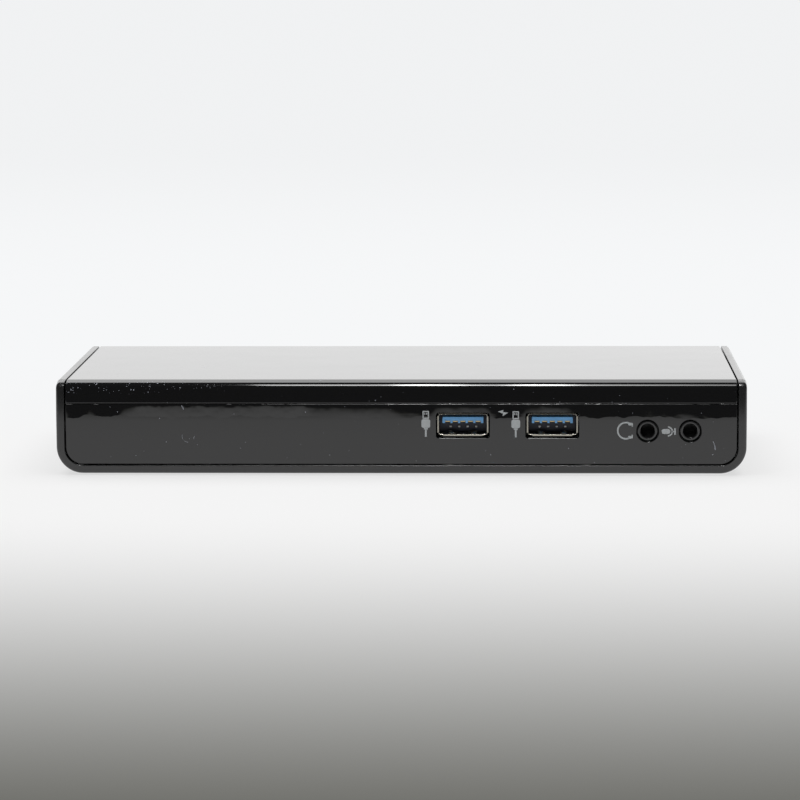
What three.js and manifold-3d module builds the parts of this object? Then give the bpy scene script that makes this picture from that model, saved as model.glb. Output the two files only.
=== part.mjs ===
// A laptop docking station: a low bar that stands behind a laptop. Two fast USB sockets and two
// audio jacks are in its glossy front. Power, network, video and more USB sockets are in its back.
// A power button is in its right-hand end and a slot for a security lock in its left-hand end.
// Millimetres. X runs along the bar, -Y is the front and +Z is up. The origin is on the table,
// under the middle of the bar.
import * as THREE from 'three';
import { mergeVertices } from 'three/addons/utils/BufferGeometryUtils.js';
import Module from 'manifold-3d';

const wasm = await Module();
wasm.setup();

// ---- Driving dimensions ---------------------------------------------------------------------

const WIDTH = 182;
const DEPTH = 76;
const HEIGHT = 25;
const WALL = 2.2;           // thickness of the wrap-around case
const FOOT_PROUD = 0.5;     // how far the feet lift the case off the table
const CORNER_R = 7;         // lower long edges of the case
const SEAM = 0.4;           // open joint between the case and what is set into it
const COVER_T = 1.7;        // thickness of the top cover
const PANEL_T = 2;          // thickness of the front panel

const HALF = WIDTH / 2;
const FRONT = -DEPTH / 2;
const BACK = DEPTH / 2;
const UNDERSIDE = FOOT_PROUD;
const FLOOR = UNDERSIDE + WALL;
const INSIDE = HALF - WALL;          // inner face of the end walls
const COVER_HALF = INSIDE - SEAM;    // half length of the cover and the panels
const COVER_UNDER = HEIGHT - COVER_T;

// Nose: the front leans back gently, turns over in a small radius, and meets the top in a bevel.
const LEAN_FROM = 14;
const LEAN_R = 70;
const LEAN_END = THREE.MathUtils.degToRad(7.3);
const NOSE_R = 1.9;
const BEVEL = THREE.MathUtils.degToRad(12);
const REAR_R = 2;

// Split lines on the front and back.
const VISOR_BOTTOM = 19.35;
const PANEL_TOP = 19.05;
const PANEL_BOTTOM = FLOOR + 0.35;
const REAR_RECESS = 2;
const REAR_FACE = BACK - REAR_RECESS;
const REAR_T = 1.8;
const REAR_TOP = 22.65;

// Boards.
const BOARD_T = 1.6;
const MAIN_TOP = 6;
const FRONT_TOP = 9.65;
const SIT = 0.05;           // parts stand this far off their board

// Sockets, as [name, x]. The front ones stand on the front board, the others on the main board.
const FRONT_USB = [['left', 16.5], ['right', 40]];
const USB_HOLE = { width: 14.1, height: 7, r: 0.8 };
const JACK_HOLE_R = 2.95;
const AUDIO = [['headphone', 65], ['microphone', 76.15]];
const REAR_MATE = 36.2;     // plane of the rear sockets' mouths
const DC_X = 71;
const USB_B_X = 57;
const NETWORK_X = 40;
const USB_STACKS = [['a', 22], ['b', 5]];
const SMALL_VIDEO_X = -14;
const WIDE_VIDEO_X = -48;

// Right-hand end: power button and status light. Left-hand end: lock slot.
const BUTTON_Y = 5;
const LIGHT_Y = 15;
const END_Z = 11.6;
const BUTTON_R = 4.5;
const BUTTON_HOLE_R = 4.8;
const LIGHT_R = 1.2;
const LIGHT_HOLE_R = 1.4;
const LOCK_Y = 5;
const LOCK_Z = 12;
const LOCK = { half: 3.5, halfHeight: 1.5 };

const CASE_SCREWS = [[-82.3, -19.5], [82.3, -19.5], [-82.3, 26], [82.3, 26]];
const MAIN_SCREWS = [[-74, 28], [-74, -2], [74, -2], [-25, 28]];
const FRONT_SCREWS = [[8, -18], [70, -18]];
const FEET = [['front_left', -70, -29], ['front_right', 70, -29], ['rear_left', -70, 29],
  ['rear_right', 70, 29]];
const FOOT_R = 5.5;
const FOOT_DEEP = 1.4;      // top of the foot's recess above the table
const SCREW_HEAD = { r: 2.3, height: 1.7, low: 1.4 };
const SCREW_SHANK = { r: 1.15, length: 16 };
const BOARD_SCREW_HEAD = { r: 2.2, height: 1.2 };
const BOARD_SCREW_SHANK = { r: 0.95, length: 5.2 };
const WEIGHT = { x0: -78, x1: -2, y0: -32.8, y1: -12, height: 4, pegs: [[-66, -22], [-14, -22]] };
const LABEL = { x0: 8, x1: 62, y0: -12, y1: 16, pocket: 0.3, thick: 0.2 };
const VENT = { first: -62, pitch: 4, count: 14, width: 1.8, y0: 0, y1: 22 };

// ---- Materials ------------------------------------------------------------------------------

const finish = (color, roughness, metalness = 0) =>
  new THREE.MeshStandardMaterial({ color, roughness, metalness, flatShading: true });

const satinBlack = finish(0x2b2b2c, 0.55);
const glossBlack = finish(0x0b0b0c, 0.08);
const rubber = finish(0x1c1c1c, 0.9);
const steel = finish(0xb9bcc0, 0.35, 1);
const screwSteel = finish(0x303134, 0.4, 1);
const blueInsert = finish(0x2f7fd0, 0.45);
const blackInsert = finish(0x121213, 0.5);
const boardGreen = finish(0x0f4a2b, 0.5);
const chipBlack = finish(0x1a1b1c, 0.6);
const aluminium = finish(0xc9ccd0, 0.4, 1);
const clearPlastic = finish(0xe8eef2, 0.1);
const labelSilver = finish(0xc8c9cb, 0.5);
const thermalGrey = finish(0x8a8d90, 0.9);
const ribbonWhite = finish(0xe6e6e2, 0.5);

// ---- Shape helpers --------------------------------------------------------------------------

const axis = (x, y, z) => new THREE.Vector3(x, y, z);
const PUSH_X = new THREE.Matrix4().makeBasis(axis(0, 1, 0), axis(0, 0, 1), axis(1, 0, 0));
const PUSH_Y = new THREE.Matrix4().makeBasis(axis(1, 0, 0), axis(0, 0, 1), axis(0, -1, 0));

function pushed(shape, length, steps) {
  return new THREE.ExtrudeGeometry(shape, { depth: length, bevelEnabled: false, curveSegments: steps });
}

// A profile drawn in (y, z), swept from x0 to x1.
function alongX(shape, x0, x1, steps = 3) {
  return pushed(shape, x1 - x0, steps).applyMatrix4(PUSH_X).translate(x0, 0, 0);
}

// A profile drawn in (x, z), swept from y0 to y1.
function alongY(shape, y0, y1, steps = 3) {
  return pushed(shape, y1 - y0, steps).applyMatrix4(PUSH_Y).translate(0, y1, 0);
}

// A profile drawn in (x, y), swept from z0 to z1.
function alongZ(shape, z0, z1, steps = 3) {
  return pushed(shape, z1 - z0, steps).translate(0, 0, z0);
}

function box(x0, x1, y0, y1, z0, z1) {
  return new THREE.BoxGeometry(x1 - x0, y1 - y0, z1 - z0)
    .translate((x0 + x1) / 2, (y0 + y1) / 2, (z0 + z1) / 2);
}

function rodX(r, x0, x1, y, z, sides = 16) {
  return new THREE.CylinderGeometry(r, r, x1 - x0, sides).rotateZ(-Math.PI / 2)
    .translate((x0 + x1) / 2, y, z);
}

function rodY(r, y0, y1, x, z, sides = 16) {
  return new THREE.CylinderGeometry(r, r, y1 - y0, sides).translate(x, (y0 + y1) / 2, z);
}

function rodZ(r, z0, z1, x, y, sides = 16) {
  return new THREE.CylinderGeometry(r, r, z1 - z0, sides).rotateX(Math.PI / 2)
    .translate(x, y, (z0 + z1) / 2);
}

// A rectangle with round corners, centred on (cx, cy).
function roundedRect(width, height, r, cx = 0, cy = 0) {
  const x = width / 2 - r;
  const y = height / 2 - r;
  return new THREE.Shape()
    .absarc(cx + x, cy - y, r, -Math.PI / 2, 0)
    .absarc(cx + x, cy + y, r, 0, Math.PI / 2)
    .absarc(cx - x, cy + y, r, Math.PI / 2, Math.PI)
    .absarc(cx - x, cy - y, r, Math.PI, 1.5 * Math.PI);
}

// A rectangle whose two lower corners are cut off at 45 degrees or steeper, centred on (cx, cy).
function chamferedRect(width, height, run, rise, cx = 0, cy = 0) {
  const x = width / 2;
  const y = height / 2;
  return new THREE.Shape()
    .moveTo(cx - x, cy + y)
    .lineTo(cx - x, cy - y + rise)
    .lineTo(cx - x + run, cy - y)
    .lineTo(cx + x - run, cy - y)
    .lineTo(cx + x, cy - y + rise)
    .lineTo(cx + x, cy + y);
}

function solid(geometry) {
  const bare = geometry.clone();
  bare.deleteAttribute('normal');
  bare.deleteAttribute('uv');
  const merged = mergeVertices(bare);
  return new wasm.Manifold(new wasm.Mesh({
    numProp: 3,
    vertProperties: merged.attributes.position.array,
    triVerts: new Uint32Array(merged.index.array),
  }));
}

function geometryOf(manifold) {
  const mesh = manifold.getMesh();
  return new THREE.BufferGeometry()
    .setAttribute('position', new THREE.BufferAttribute(mesh.vertProperties, 3))
    .setIndex(new THREE.BufferAttribute(mesh.triVerts, 1));
}

const join = (first, ...others) =>
  geometryOf(others.map(solid).reduce((whole, part) => whole.add(part), solid(first)));
const cut = (base, ...tools) =>
  geometryOf(tools.map(solid).reduce((whole, tool) => whole.subtract(tool), solid(base)));
const common = (a, b) => geometryOf(solid(a).intersect(solid(b)));

function piece(name, geometry, material) {
  const mesh = new THREE.Mesh(geometry, material);
  mesh.name = name;
  return mesh;
}

function placed(object, x, y, z) {
  object.position.set(x, y, z);
  return object;
}

function assembly(...objects) {
  return new THREE.Group().add(...objects);
}

// ---- Outlines shared by the housing ---------------------------------------------------------

const LEAN_CENTRE = FRONT + LEAN_R;
const leanAngle = (z) => Math.asin((z - LEAN_FROM) / LEAN_R);
const leanY = (z) => LEAN_CENTRE - LEAN_R * Math.cos(leanAngle(z));
const LEAN_TOP = LEAN_FROM + LEAN_R * Math.sin(LEAN_END);
const NOSE_END = Math.PI / 2 - BEVEL;
const NOSE_Y = leanY(LEAN_TOP) + NOSE_R * Math.cos(LEAN_END);
const NOSE_Z = LEAN_TOP - NOSE_R * Math.sin(LEAN_END);
const BEVEL_RISE = HEIGHT - (NOSE_Z + NOSE_R * Math.sin(NOSE_END));
const TOP_FRONT = NOSE_Y - NOSE_R * Math.cos(NOSE_END) + BEVEL_RISE / Math.tan(BEVEL);

// Draws the front of the housing on a (y, z) path, from height z up to the flat top.
function drawNose(path, z) {
  return path
    .absarc(LEAN_CENTRE, LEAN_FROM, LEAN_R, Math.PI - leanAngle(z), Math.PI - LEAN_END, true)
    .absarc(NOSE_Y, NOSE_Z, NOSE_R, Math.PI - LEAN_END, Math.PI - NOSE_END, true)
    .lineTo(TOP_FRONT, HEIGHT);
}

function drawRear(path) {
  return path
    .lineTo(BACK - REAR_R, HEIGHT)
    .absarc(BACK - REAR_R, HEIGHT - REAR_R, REAR_R, Math.PI / 2, 0, true);
}

// The whole housing seen from its end, in (y, z).
function endOutline() {
  const edge = 0.6;
  const path = new THREE.Shape()
    .moveTo(FRONT + edge, UNDERSIDE)
    .lineTo(FRONT, UNDERSIDE + edge);
  drawRear(drawNose(path, LEAN_FROM));
  return path
    .lineTo(BACK, UNDERSIDE + edge)
    .lineTo(BACK - edge, UNDERSIDE);
}

// The wrap-around case seen from the front, in (x, z): a floor and two end walls in one band.
function wrapOutline() {
  const innerR = CORNER_R - WALL;
  const edge = 1.1;
  const turn = HALF - CORNER_R;
  const turnZ = UNDERSIDE + CORNER_R;
  return new THREE.Shape()
    .absarc(-turn, turnZ, CORNER_R, Math.PI, 1.5 * Math.PI)
    .absarc(turn, turnZ, CORNER_R, 1.5 * Math.PI, 2 * Math.PI)
    .absarc(HALF - edge, HEIGHT - edge, edge, 0, Math.PI / 2)
    .lineTo(INSIDE, HEIGHT)
    .absarc(turn, turnZ, innerR, 0, -Math.PI / 2, true)
    .absarc(-turn, turnZ, innerR, -Math.PI / 2, -Math.PI, true)
    .lineTo(-INSIDE, HEIGHT)
    .absarc(-HALF + edge, HEIGHT - edge, edge, Math.PI / 2, Math.PI);
}

// A panel set into the case, seen from the front, in (x, z), up to the given height.
function panelOutline(top) {
  const r = CORNER_R - WALL - SEAM;
  return new THREE.Shape()
    .moveTo(COVER_HALF, top)
    .lineTo(-COVER_HALF, top)
    .absarc(-COVER_HALF + r, PANEL_BOTTOM + r, r, Math.PI, 1.5 * Math.PI)
    .absarc(COVER_HALF - r, PANEL_BOTTOM + r, r, 1.5 * Math.PI, 2 * Math.PI);
}

// ---- Housing --------------------------------------------------------------------------------

// The opening for a security lock in the left-hand end, wider by the given margin.
function lockSlot(x0, x1, margin) {
  const reach = LOCK.half + margin;
  const rise = LOCK.halfHeight + margin;
  return box(x0, x1, LOCK_Y - reach, LOCK_Y + reach, LOCK_Z - rise, LOCK_Z + rise);
}

function bottomCase() {
  const band = common(alongY(wrapOutline(), FRONT, BACK, 4), alongX(endOutline(), -HALF, HALF));
  const rooted = FLOOR - 0.7;    // what stands on the floor starts this low, inside it
  const bossTop = 12;
  const bosses = CASE_SCREWS.map(([x, y]) => rodZ(3.4, 1.2, bossTop, x, y));
  const post = (x, y, boardTop) => rodZ(2.6, rooted, boardTop - BOARD_T - SIT, x, y, 12);
  const mainPosts = MAIN_SCREWS.map(([x, y]) => post(x, y, MAIN_TOP));
  const frontPosts = FRONT_SCREWS.map(([x, y]) => post(x, y, FRONT_TOP));
  const pegs = WEIGHT.pegs.map(([x, y]) => rodZ(2, rooted, FLOOR + WEIGHT.height + 0.8, x, y, 12));
  const ribHalf = 78;
  const ribT = 1.2;
  const ribs = [
    box(-ribHalf, ribHalf, FRONT + 2.3, FRONT + 2.3 + ribT, rooted, 5.5),
    box(-ribHalf, ribHalf, REAR_FACE - 3.2, REAR_FACE - 2.1, rooted, 4.1),
    ...[-9.7, 8.5].map((y) =>
      box(-INSIDE - 1, -INSIDE + 1.8, LOCK_Y + y, LOCK_Y + y + ribT, 7.6, 17)),
  ];
  const filled = join(band, ...bosses, ...mainPosts, ...frontPosts, ...pegs, ...ribs);
  const screwHoles = CASE_SCREWS.flatMap(([x, y]) => [
    rodZ(2.5, 0, 3.2, x, y),
    rodZ(1.4, 3, 13, x, y, 12),
  ]);
  const pilots = [...MAIN_SCREWS, ...FRONT_SCREWS].map(([x, y]) => rodZ(1.1, 1.5, 9, x, y, 8));
  const footPockets = FEET.map(([, x, y]) => rodZ(FOOT_R + 0.2, 0, FOOT_DEEP, x, y, 20));
  const vents = Array.from({ length: VENT.count }, (_, i) => {
    const x = VENT.first + i * VENT.pitch;
    return box(x - VENT.width / 2, x + VENT.width / 2, VENT.y0, VENT.y1, 0, 4);
  });
  const { x0, x1, y0, y1 } = LABEL;
  const rim = 0.4;
  const labelPocket = box(x0 - rim, x1 + rim, y0 - rim, y1 + rim, 0, UNDERSIDE + LABEL.pocket);
  const endHoles = [
    rodX(BUTTON_HOLE_R, INSIDE - 1, HALF + 1, BUTTON_Y, END_Z, 24),
    rodX(LIGHT_HOLE_R, INSIDE - 1, HALF + 1, LIGHT_Y, END_Z, 12),
    lockSlot(-HALF - 1, -INSIDE + 1, 0),
  ];
  return cut(filled, ...screwHoles, ...pilots, ...footPockets, ...vents, labelPocket, ...endHoles);
}

function topCover() {
  const outside = new THREE.Shape().moveTo(leanY(VISOR_BOTTOM), VISOR_BOTTOM);
  drawRear(drawNose(outside, VISOR_BOTTOM));
  const innerR = NOSE_R - COVER_T;
  const shell = outside
    .lineTo(BACK - REAR_R, COVER_UNDER)
    .lineTo(TOP_FRONT, COVER_UNDER)
    .absarc(NOSE_Y, NOSE_Z, innerR, Math.PI - NOSE_END, Math.PI - LEAN_END, false)
    .lineTo(leanY(VISOR_BOTTOM) + COVER_T, VISOR_BOTTOM);
  const bosses = CASE_SCREWS.map(([x, y]) => rodZ(2.9, 12.3, COVER_UNDER + 0.5, x, y));
  const panelStop = box(-76, 76, FRONT + 2.3, FRONT + 3.4, 17.2, COVER_UNDER - 0.1);
  const whole = join(alongX(shell, -COVER_HALF, COVER_HALF), ...bosses, panelStop);
  return cut(whole, ...CASE_SCREWS.map(([x, y]) => rodZ(1.3, 12, 20, x, y, 12)));
}

function frontPanel() {
  const section = new THREE.Shape()
    .moveTo(FRONT + PANEL_T, PANEL_BOTTOM)
    .lineTo(FRONT, PANEL_BOTTOM)
    .absarc(LEAN_CENTRE, LEAN_FROM, LEAN_R, Math.PI, Math.PI - leanAngle(PANEL_TOP), true)
    .lineTo(FRONT + PANEL_T, PANEL_TOP);
  const plate = common(
    alongY(panelOutline(PANEL_TOP), FRONT - 1, FRONT + PANEL_T + 1, 4),
    alongX(section, -HALF, HALF),
  );
  const hooks = [-60, -20].flatMap((x) => [
    box(x - 4, x + 4, FRONT + 1.5, FRONT + 4.6, 5.8, 7),
    box(x - 4, x + 4, FRONT + 3.8, FRONT + 4.6, 4.8, 6.5),
  ]);
  const through = [FRONT - 1, FRONT + 3];
  const usbZ = FRONT_TOP + USB_CENTRE - 0.1;
  const jackZ = FRONT_TOP + JACK_CENTRE;
  const usbHoles = FRONT_USB.map(([, x]) =>
    alongY(roundedRect(USB_HOLE.width, USB_HOLE.height, USB_HOLE.r, x, usbZ), ...through));
  const jackHoles = AUDIO.map(([, x]) => rodY(JACK_HOLE_R, ...through, x, jackZ, 24));
  return cut(join(plate, ...hooks), ...usbHoles, ...jackHoles);
}

function rearPanel() {
  const plate = alongY(panelOutline(REAR_TOP), REAR_FACE - REAR_T, REAR_FACE);
  const hooks = [-81, 81].flatMap((x) => [
    box(x - 2.6, x + 2.6, REAR_FACE - REAR_T - 2.8, REAR_FACE - 1, 5.8, 7),
    box(x - 2.6, x + 2.6, REAR_FACE - REAR_T - 2.8, REAR_FACE - REAR_T - 2, 4.4, 6.5),
  ]);
  const through = [REAR_FACE - 3, REAR_FACE + 1];
  const outlines = [
    roundedRect(9.5, 11.5, 0.3, DC_X, MAIN_TOP + 5.5),
    roundedRect(12.7, 13.4, 0.3, USB_B_X, MAIN_TOP + 6.45),
    roundedRect(16.6, 13.9, 0.3, NETWORK_X, MAIN_TOP + 6.75),
    ...USB_STACKS.map(([, x]) => roundedRect(13.7, 16, 0.3, x, MAIN_TOP + 7.8)),
    chamferedRect(16, 6.6, 1.6, 1.6, SMALL_VIDEO_X, MAIN_TOP + SMALL_VIDEO_CENTRE),
    chamferedRect(27.2, 10.4, 1.8, 3.6, WIDE_VIDEO_X, MAIN_TOP + WIDE_VIDEO_CENTRE),
  ];
  const nutHoles = [-VIDEO_NUT_X, VIDEO_NUT_X].map((x) =>
    rodY(3.2, ...through, WIDE_VIDEO_X + x, MAIN_TOP + WIDE_VIDEO_CENTRE));
  const holes = outlines.map((outline) => alongY(outline, ...through, 2));
  return cut(join(plate, ...hooks), ...holes, ...nutHoles);
}

function foot() {
  return rodZ(FOOT_R, 0, FOOT_DEEP - 0.1, 0, 0, 20);
}

// A screw standing on its head: the head's lower face is at z = 0.
function screw(head, shank) {
  const profile = [[0, 0], [head.r, 0], [head.r, head.height], [shank.r, head.height],
    [shank.r, shank.length], [0, shank.length]].map(([r, z]) => new THREE.Vector2(r, z));
  return new THREE.LatheGeometry(profile, 12).rotateX(Math.PI / 2);
}

function label() {
  const { x0, x1, y0, y1, thick } = LABEL;
  return box(x0, x1, y0, y1, UNDERSIDE + SIT, UNDERSIDE + SIT + thick);
}

// Steel plate behind the lock slot, which takes the lock's pull.
function lockPlate() {
  const plate = box(-INSIDE + 0.2, -INSIDE + 1.2, LOCK_Y - 8, LOCK_Y + 8, 7.8, 17);
  return cut(plate, lockSlot(-INSIDE, -INSIDE + 2, 0.1));
}

function weightPlate() {
  const { x0, x1, y0, y1, height, pegs } = WEIGHT;
  const bar = box(x0, x1, y0, y1, FLOOR + 0.1, FLOOR + height);
  return cut(bar, ...pegs.map(([x, y]) => rodZ(2.3, 0, 10, x, y, 12)));
}

function housing() {
  return assembly(
    piece('bottom_case', bottomCase(), satinBlack),
    piece('top_cover', topCover(), glossBlack),
    piece('front_panel', frontPanel(), glossBlack),
    piece('rear_panel', rearPanel(), satinBlack),
    ...FEET.map(([where, x, y]) => placed(piece('foot_' + where, foot(), rubber), x, y, 0)),
    ...CASE_SCREWS.map(([x, y], i) =>
      placed(piece('case_screw_' + (i + 1), screw(SCREW_HEAD, SCREW_SHANK), screwSteel),
        x, y, SCREW_HEAD.low)),
    piece('rating_label', label(), labelSilver),
    piece('lock_slot_plate', lockPlate(), steel),
    piece('ballast_plate', weightPlate(), steel),
  );
}

// ---- Boards and what stands on them ---------------------------------------------------------

function board(outline, top, holes) {
  const sheet = alongZ(outline, top - BOARD_T, top);
  return cut(sheet, ...holes.map(([x, y]) => rodZ(1.5, 0, 20, x, y, 12)));
}

function mainBoard() {
  const outline = roundedRect(156.6, 39.6, 1, 0, 14.05);
  return board(outline, MAIN_TOP, MAIN_SCREWS);
}

// The front board steps out on its right-hand side to carry the last audio jack.
function frontBoard() {
  const outline = new THREE.Shape()
    .moveTo(4, -35.4)
    .lineTo(80, -35.4)
    .lineTo(80, -23.2)
    .lineTo(78.3, -23.2)
    .lineTo(78.3, -14)
    .lineTo(4, -14);
  return board(outline, FRONT_TOP, FRONT_SCREWS);
}

const chip = (side, height) => box(-side / 2, side / 2, -side / 2, side / 2, SIT, SIT + height);

// Extruded heat sink: a base with upright fins, in (x, z).
function heatSink() {
  const fins = 9;
  const pitch = 3.2;
  const finHalf = 0.6;
  const base = 2;
  const top = 8.5;
  const half = ((fins - 1) * pitch) / 2 + finHalf;
  const comb = new THREE.Shape().moveTo(-half, 0).lineTo(half, 0);
  for (let i = fins - 1; i >= 0; i -= 1) {
    const x = -half + finHalf + i * pitch;
    comb.lineTo(x + finHalf, top).lineTo(x - finHalf, top);
    if (i > 0) comb.lineTo(x - finHalf, base).lineTo(x - pitch + finHalf, base);
  }
  return alongY(comb, -13, 13);
}

// Flat flexible cable between the two boards: a sagging S in (y, z).
function ribbonCable() {
  const thick = 0.3;
  const [y0, z0, y1, z1] = [-14.2, 10.6, -5.8, 7.2];
  const middle = (y0 + y1) / 2;
  const bend = new THREE.Shape()
    .moveTo(y0, z0)
    .bezierCurveTo(middle + 1, z0, middle - 1, z1, y1, z1)
    .lineTo(y1, z1 - thick)
    .bezierCurveTo(middle - 1 - thick, z1 - thick, middle + 1 - thick, z0 - thick, y0, z0 - thick);
  return alongX(bend, 25, 43, 8);
}

function boards() {
  const displayX = -48;
  const displayY = 7;
  return assembly(
    piece('main_board', mainBoard(), boardGreen),
    piece('front_board', frontBoard(), boardGreen),
    ...MAIN_SCREWS.map(([x, y], i) => placed(turnedScrew('main_board_screw_' + (i + 1)), x, y, MAIN_TOP)),
    ...FRONT_SCREWS.map(([x, y], i) =>
      placed(turnedScrew('front_board_screw_' + (i + 1)), x, y, FRONT_TOP)),
    piece('ribbon_socket_front', box(23, 45, -18.4, -14.5, FRONT_TOP + SIT, FRONT_TOP + 2), blackInsert),
    piece('ribbon_socket_main', box(23, 45, -5.5, -1.6, MAIN_TOP + SIT, MAIN_TOP + 2), blackInsert),
    piece('ribbon_cable', ribbonCable(), ribbonWhite),
    placed(piece('display_chip', chip(17, 1.4), chipBlack), displayX, displayY, MAIN_TOP),
    placed(piece('thermal_pad', box(-8, 8, -8, 8, 0, 0.8), thermalGrey), displayX, displayY, MAIN_TOP + 1.5),
    placed(piece('heat_sink', heatSink(), aluminium), displayX, displayY, MAIN_TOP + 2.35),
    placed(piece('usb_hub_chip', chip(9, 0.9), chipBlack), -12, 8, MAIN_TOP),
    placed(piece('network_transformer', box(-7, 7, -4.5, 4.5, SIT, 5.6), chipBlack), 40, 9, MAIN_TOP),
    placed(piece('audio_chip', chip(7, 0.9), chipBlack), 56, -26, FRONT_TOP),
    placed(piece('power_inductor', inductor(), chipBlack), 60, 4, MAIN_TOP),
    placed(piece('bulk_capacitor', rodZ(4, SIT, 9.5, 0, 0, 20), aluminium), 67, 15, MAIN_TOP),
  );
}

function turnedScrew(name) {
  const mesh = piece(name, screw(BOARD_SCREW_HEAD, BOARD_SCREW_SHANK), screwSteel);
  mesh.geometry.rotateX(Math.PI).translate(0, 0, BOARD_SCREW_HEAD.height + SIT);
  return mesh;
}

function inductor() {
  return alongZ(roundedRect(10, 10, 2.2), SIT, 4);
}

// ---- Sockets. Each is drawn with its mouth at y = 0, opening towards -Y, on a board at z = 0 ---

const USB_CENTRE = 3.94;     // height of a single socket's middle over its board
const USB_MOUTH = { width: 12.5, height: 5.12 };
const SHELL_T = 0.3;
const TONGUE = { half: 5.5, low: 0.3, high: 2, recess: 1 };

// A pressed-metal tube with rounded corners, open at both ends, from y0 to y1.
function metalTube(width, height, y0, y1, centre, wall = SHELL_T) {
  const outer = alongY(roundedRect(width + 2 * wall, height + 2 * wall, 0.6, 0, centre), y0, y1, 2);
  const inner = alongY(roundedRect(width, height, 0.4, 0, centre), y0 - 1, y1 + 1, 2);
  return { outer, inner };
}

function usbShell() {
  const depth = 14;
  const lip = 0.7;
  const body = metalTube(USB_MOUTH.width, USB_MOUTH.height, lip - 0.2, depth, USB_CENTRE);
  const mouth = metalTube(12.9, 5.9, 0, lip, USB_CENTRE);
  const side = USB_MOUTH.width / 2;
  const legs = [3, 9].flatMap((y) => [
    box(side, side + SHELL_T, y, y + 2, SIT, 3),
    box(-side - SHELL_T, -side, y, y + 2, SIT, 3),
  ]);
  const mouthHollow = alongY(roundedRect(12.9, 5.9, 0.5, 0, USB_CENTRE), -1, lip - 0.2, 2);
  return cut(join(body.outer, mouth.outer, ...legs), body.inner, mouthHollow);
}

function usbInsert(centre = USB_CENTRE) {
  const block = box(-6.1, 6.1, 9.5, 13.9, centre - 2.4, centre + 2.4);
  const tongue = box(-TONGUE.half, TONGUE.half, TONGUE.recess, 10, centre + TONGUE.low, centre + TONGUE.high);
  return join(block, tongue);
}

function frontUsb([side, x]) {
  const socket = assembly(
    piece('usb_front_' + side + '_shell', usbShell(), steel),
    piece('usb_front_' + side + '_insert', usbInsert(), blueInsert),
  );
  return placed(socket, x, FRONT, FRONT_TOP);
}

const JACK_CENTRE = 2.45;
const JACK_BARREL_R = 2.55;
const JACK_BORE_R = 1.8;

function audioJack([use, x]) {
  const body = join(
    box(-3, 3, 2.4, 14.4, SIT, 5),
    rodY(JACK_BARREL_R, 0.4, 2.5, 0, JACK_CENTRE, 24),
  );
  const jack = cut(body, rodY(JACK_BORE_R, -1, 13, 0, JACK_CENTRE, 16));
  return placed(piece(use + '_jack', jack, blackInsert), x, FRONT, FRONT_TOP);
}

const DC_CENTRE = 6.5;

function dcInlet() {
  const body = cut(box(-4.5, 4.5, 0, 14, SIT, 11), rodY(3.2, -1, 10, 0, DC_CENTRE, 20));
  return assembly(
    piece('dc_inlet', body, blackInsert),
    piece('dc_inlet_pin', rodY(1, 1.2, 9.8, 0, DC_CENTRE, 12), steel),
  );
}

// The square computer-side socket: a lower bay with a thick tongue and a small upper bay.
function usbB() {
  const shell = cut(box(-6.05, 6.05, 0, 16, SIT, 12.9), box(-5.7, 5.7, -1, 15.6, 0.4, 12.55));
  const bays = [box(-4.2, 4.2, -1, 9, 1.4, 9.1), box(-3, 3, -1, 9, 9, 11.5)];
  const tongues = [box(-2.8, 2.8, 1, 10, 3.6, 6.8), box(-2.1, 2.1, 1, 10, 9.9, 10.9)];
  const insert = join(cut(box(-5.5, 5.5, 0.3, 15.4, 0.6, 12.35), ...bays), ...tongues);
  return assembly(piece('usb_b_shell', shell, steel), piece('usb_b_insert', insert, blueInsert));
}

// The network socket: a plug bay with a two-step notch under it for the plug's latch.
function networkJack() {
  const bays = [
    box(-5.9, 5.9, -1, 13, 4.2, 11.6),
    box(-3.1, 3.1, -1, 13, 2.8, 4.4),
    box(-2, 2, -1, 13, 1.6, 3),
  ];
  return piece('network_jack', cut(box(-8, 8, 0, 18, SIT, 13.4), ...bays), steel);
}

const STACK_CENTRES = [3.25, 12.3];

function usbStack([letter]) {
  const height = 15.6;
  const shell = cut(
    box(-6.55, 6.55, 0, 17, SIT, height),
    box(-6.25, 6.25, -1, 18, SIT + SHELL_T, height - SHELL_T),
  );
  const [low, high] = STACK_CENTRES;
  const reach = USB_MOUTH.height / 2;
  const back = box(-6.1, 6.1, 10.5, 16.8, 0.5, height - 0.5);
  const web = box(-6.1, 6.1, 0.3, 11, low + reach, high - reach);
  const tongues = STACK_CENTRES.map((z) =>
    box(-TONGUE.half, TONGUE.half, TONGUE.recess, 11, z + TONGUE.low, z + TONGUE.high));
  return assembly(
    piece('usb_stack_' + letter + '_shell', shell, steel),
    piece('usb_stack_' + letter + '_insert', join(back, web, ...tongues), blackInsert),
  );
}

const SMALL_VIDEO_CENTRE = 3.2;

function smallVideo() {
  const outer = alongY(chamferedRect(14.9, 5.5, 1.6, 1.6, 0, SMALL_VIDEO_CENTRE), 0, 11.5);
  const hollow = alongY(chamferedRect(14.2, 4.8, 1.5, 1.5, 0, SMALL_VIDEO_CENTRE), -1, 12);
  const block = alongY(chamferedRect(13.8, 4.4, 1.5, 1.5, 0, SMALL_VIDEO_CENTRE), 8, 11.3);
  const tongue = box(-5.8, 5.8, 1, 9, SMALL_VIDEO_CENTRE + 0.1, SMALL_VIDEO_CENTRE + 1.2);
  return assembly(
    piece('video_small_shell', cut(outer, hollow), steel),
    piece('video_small_insert', join(block, tongue), blackInsert),
  );
}

const WIDE_VIDEO_CENTRE = 7.2;
const VIDEO_NUT_X = 16.66;

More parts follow.
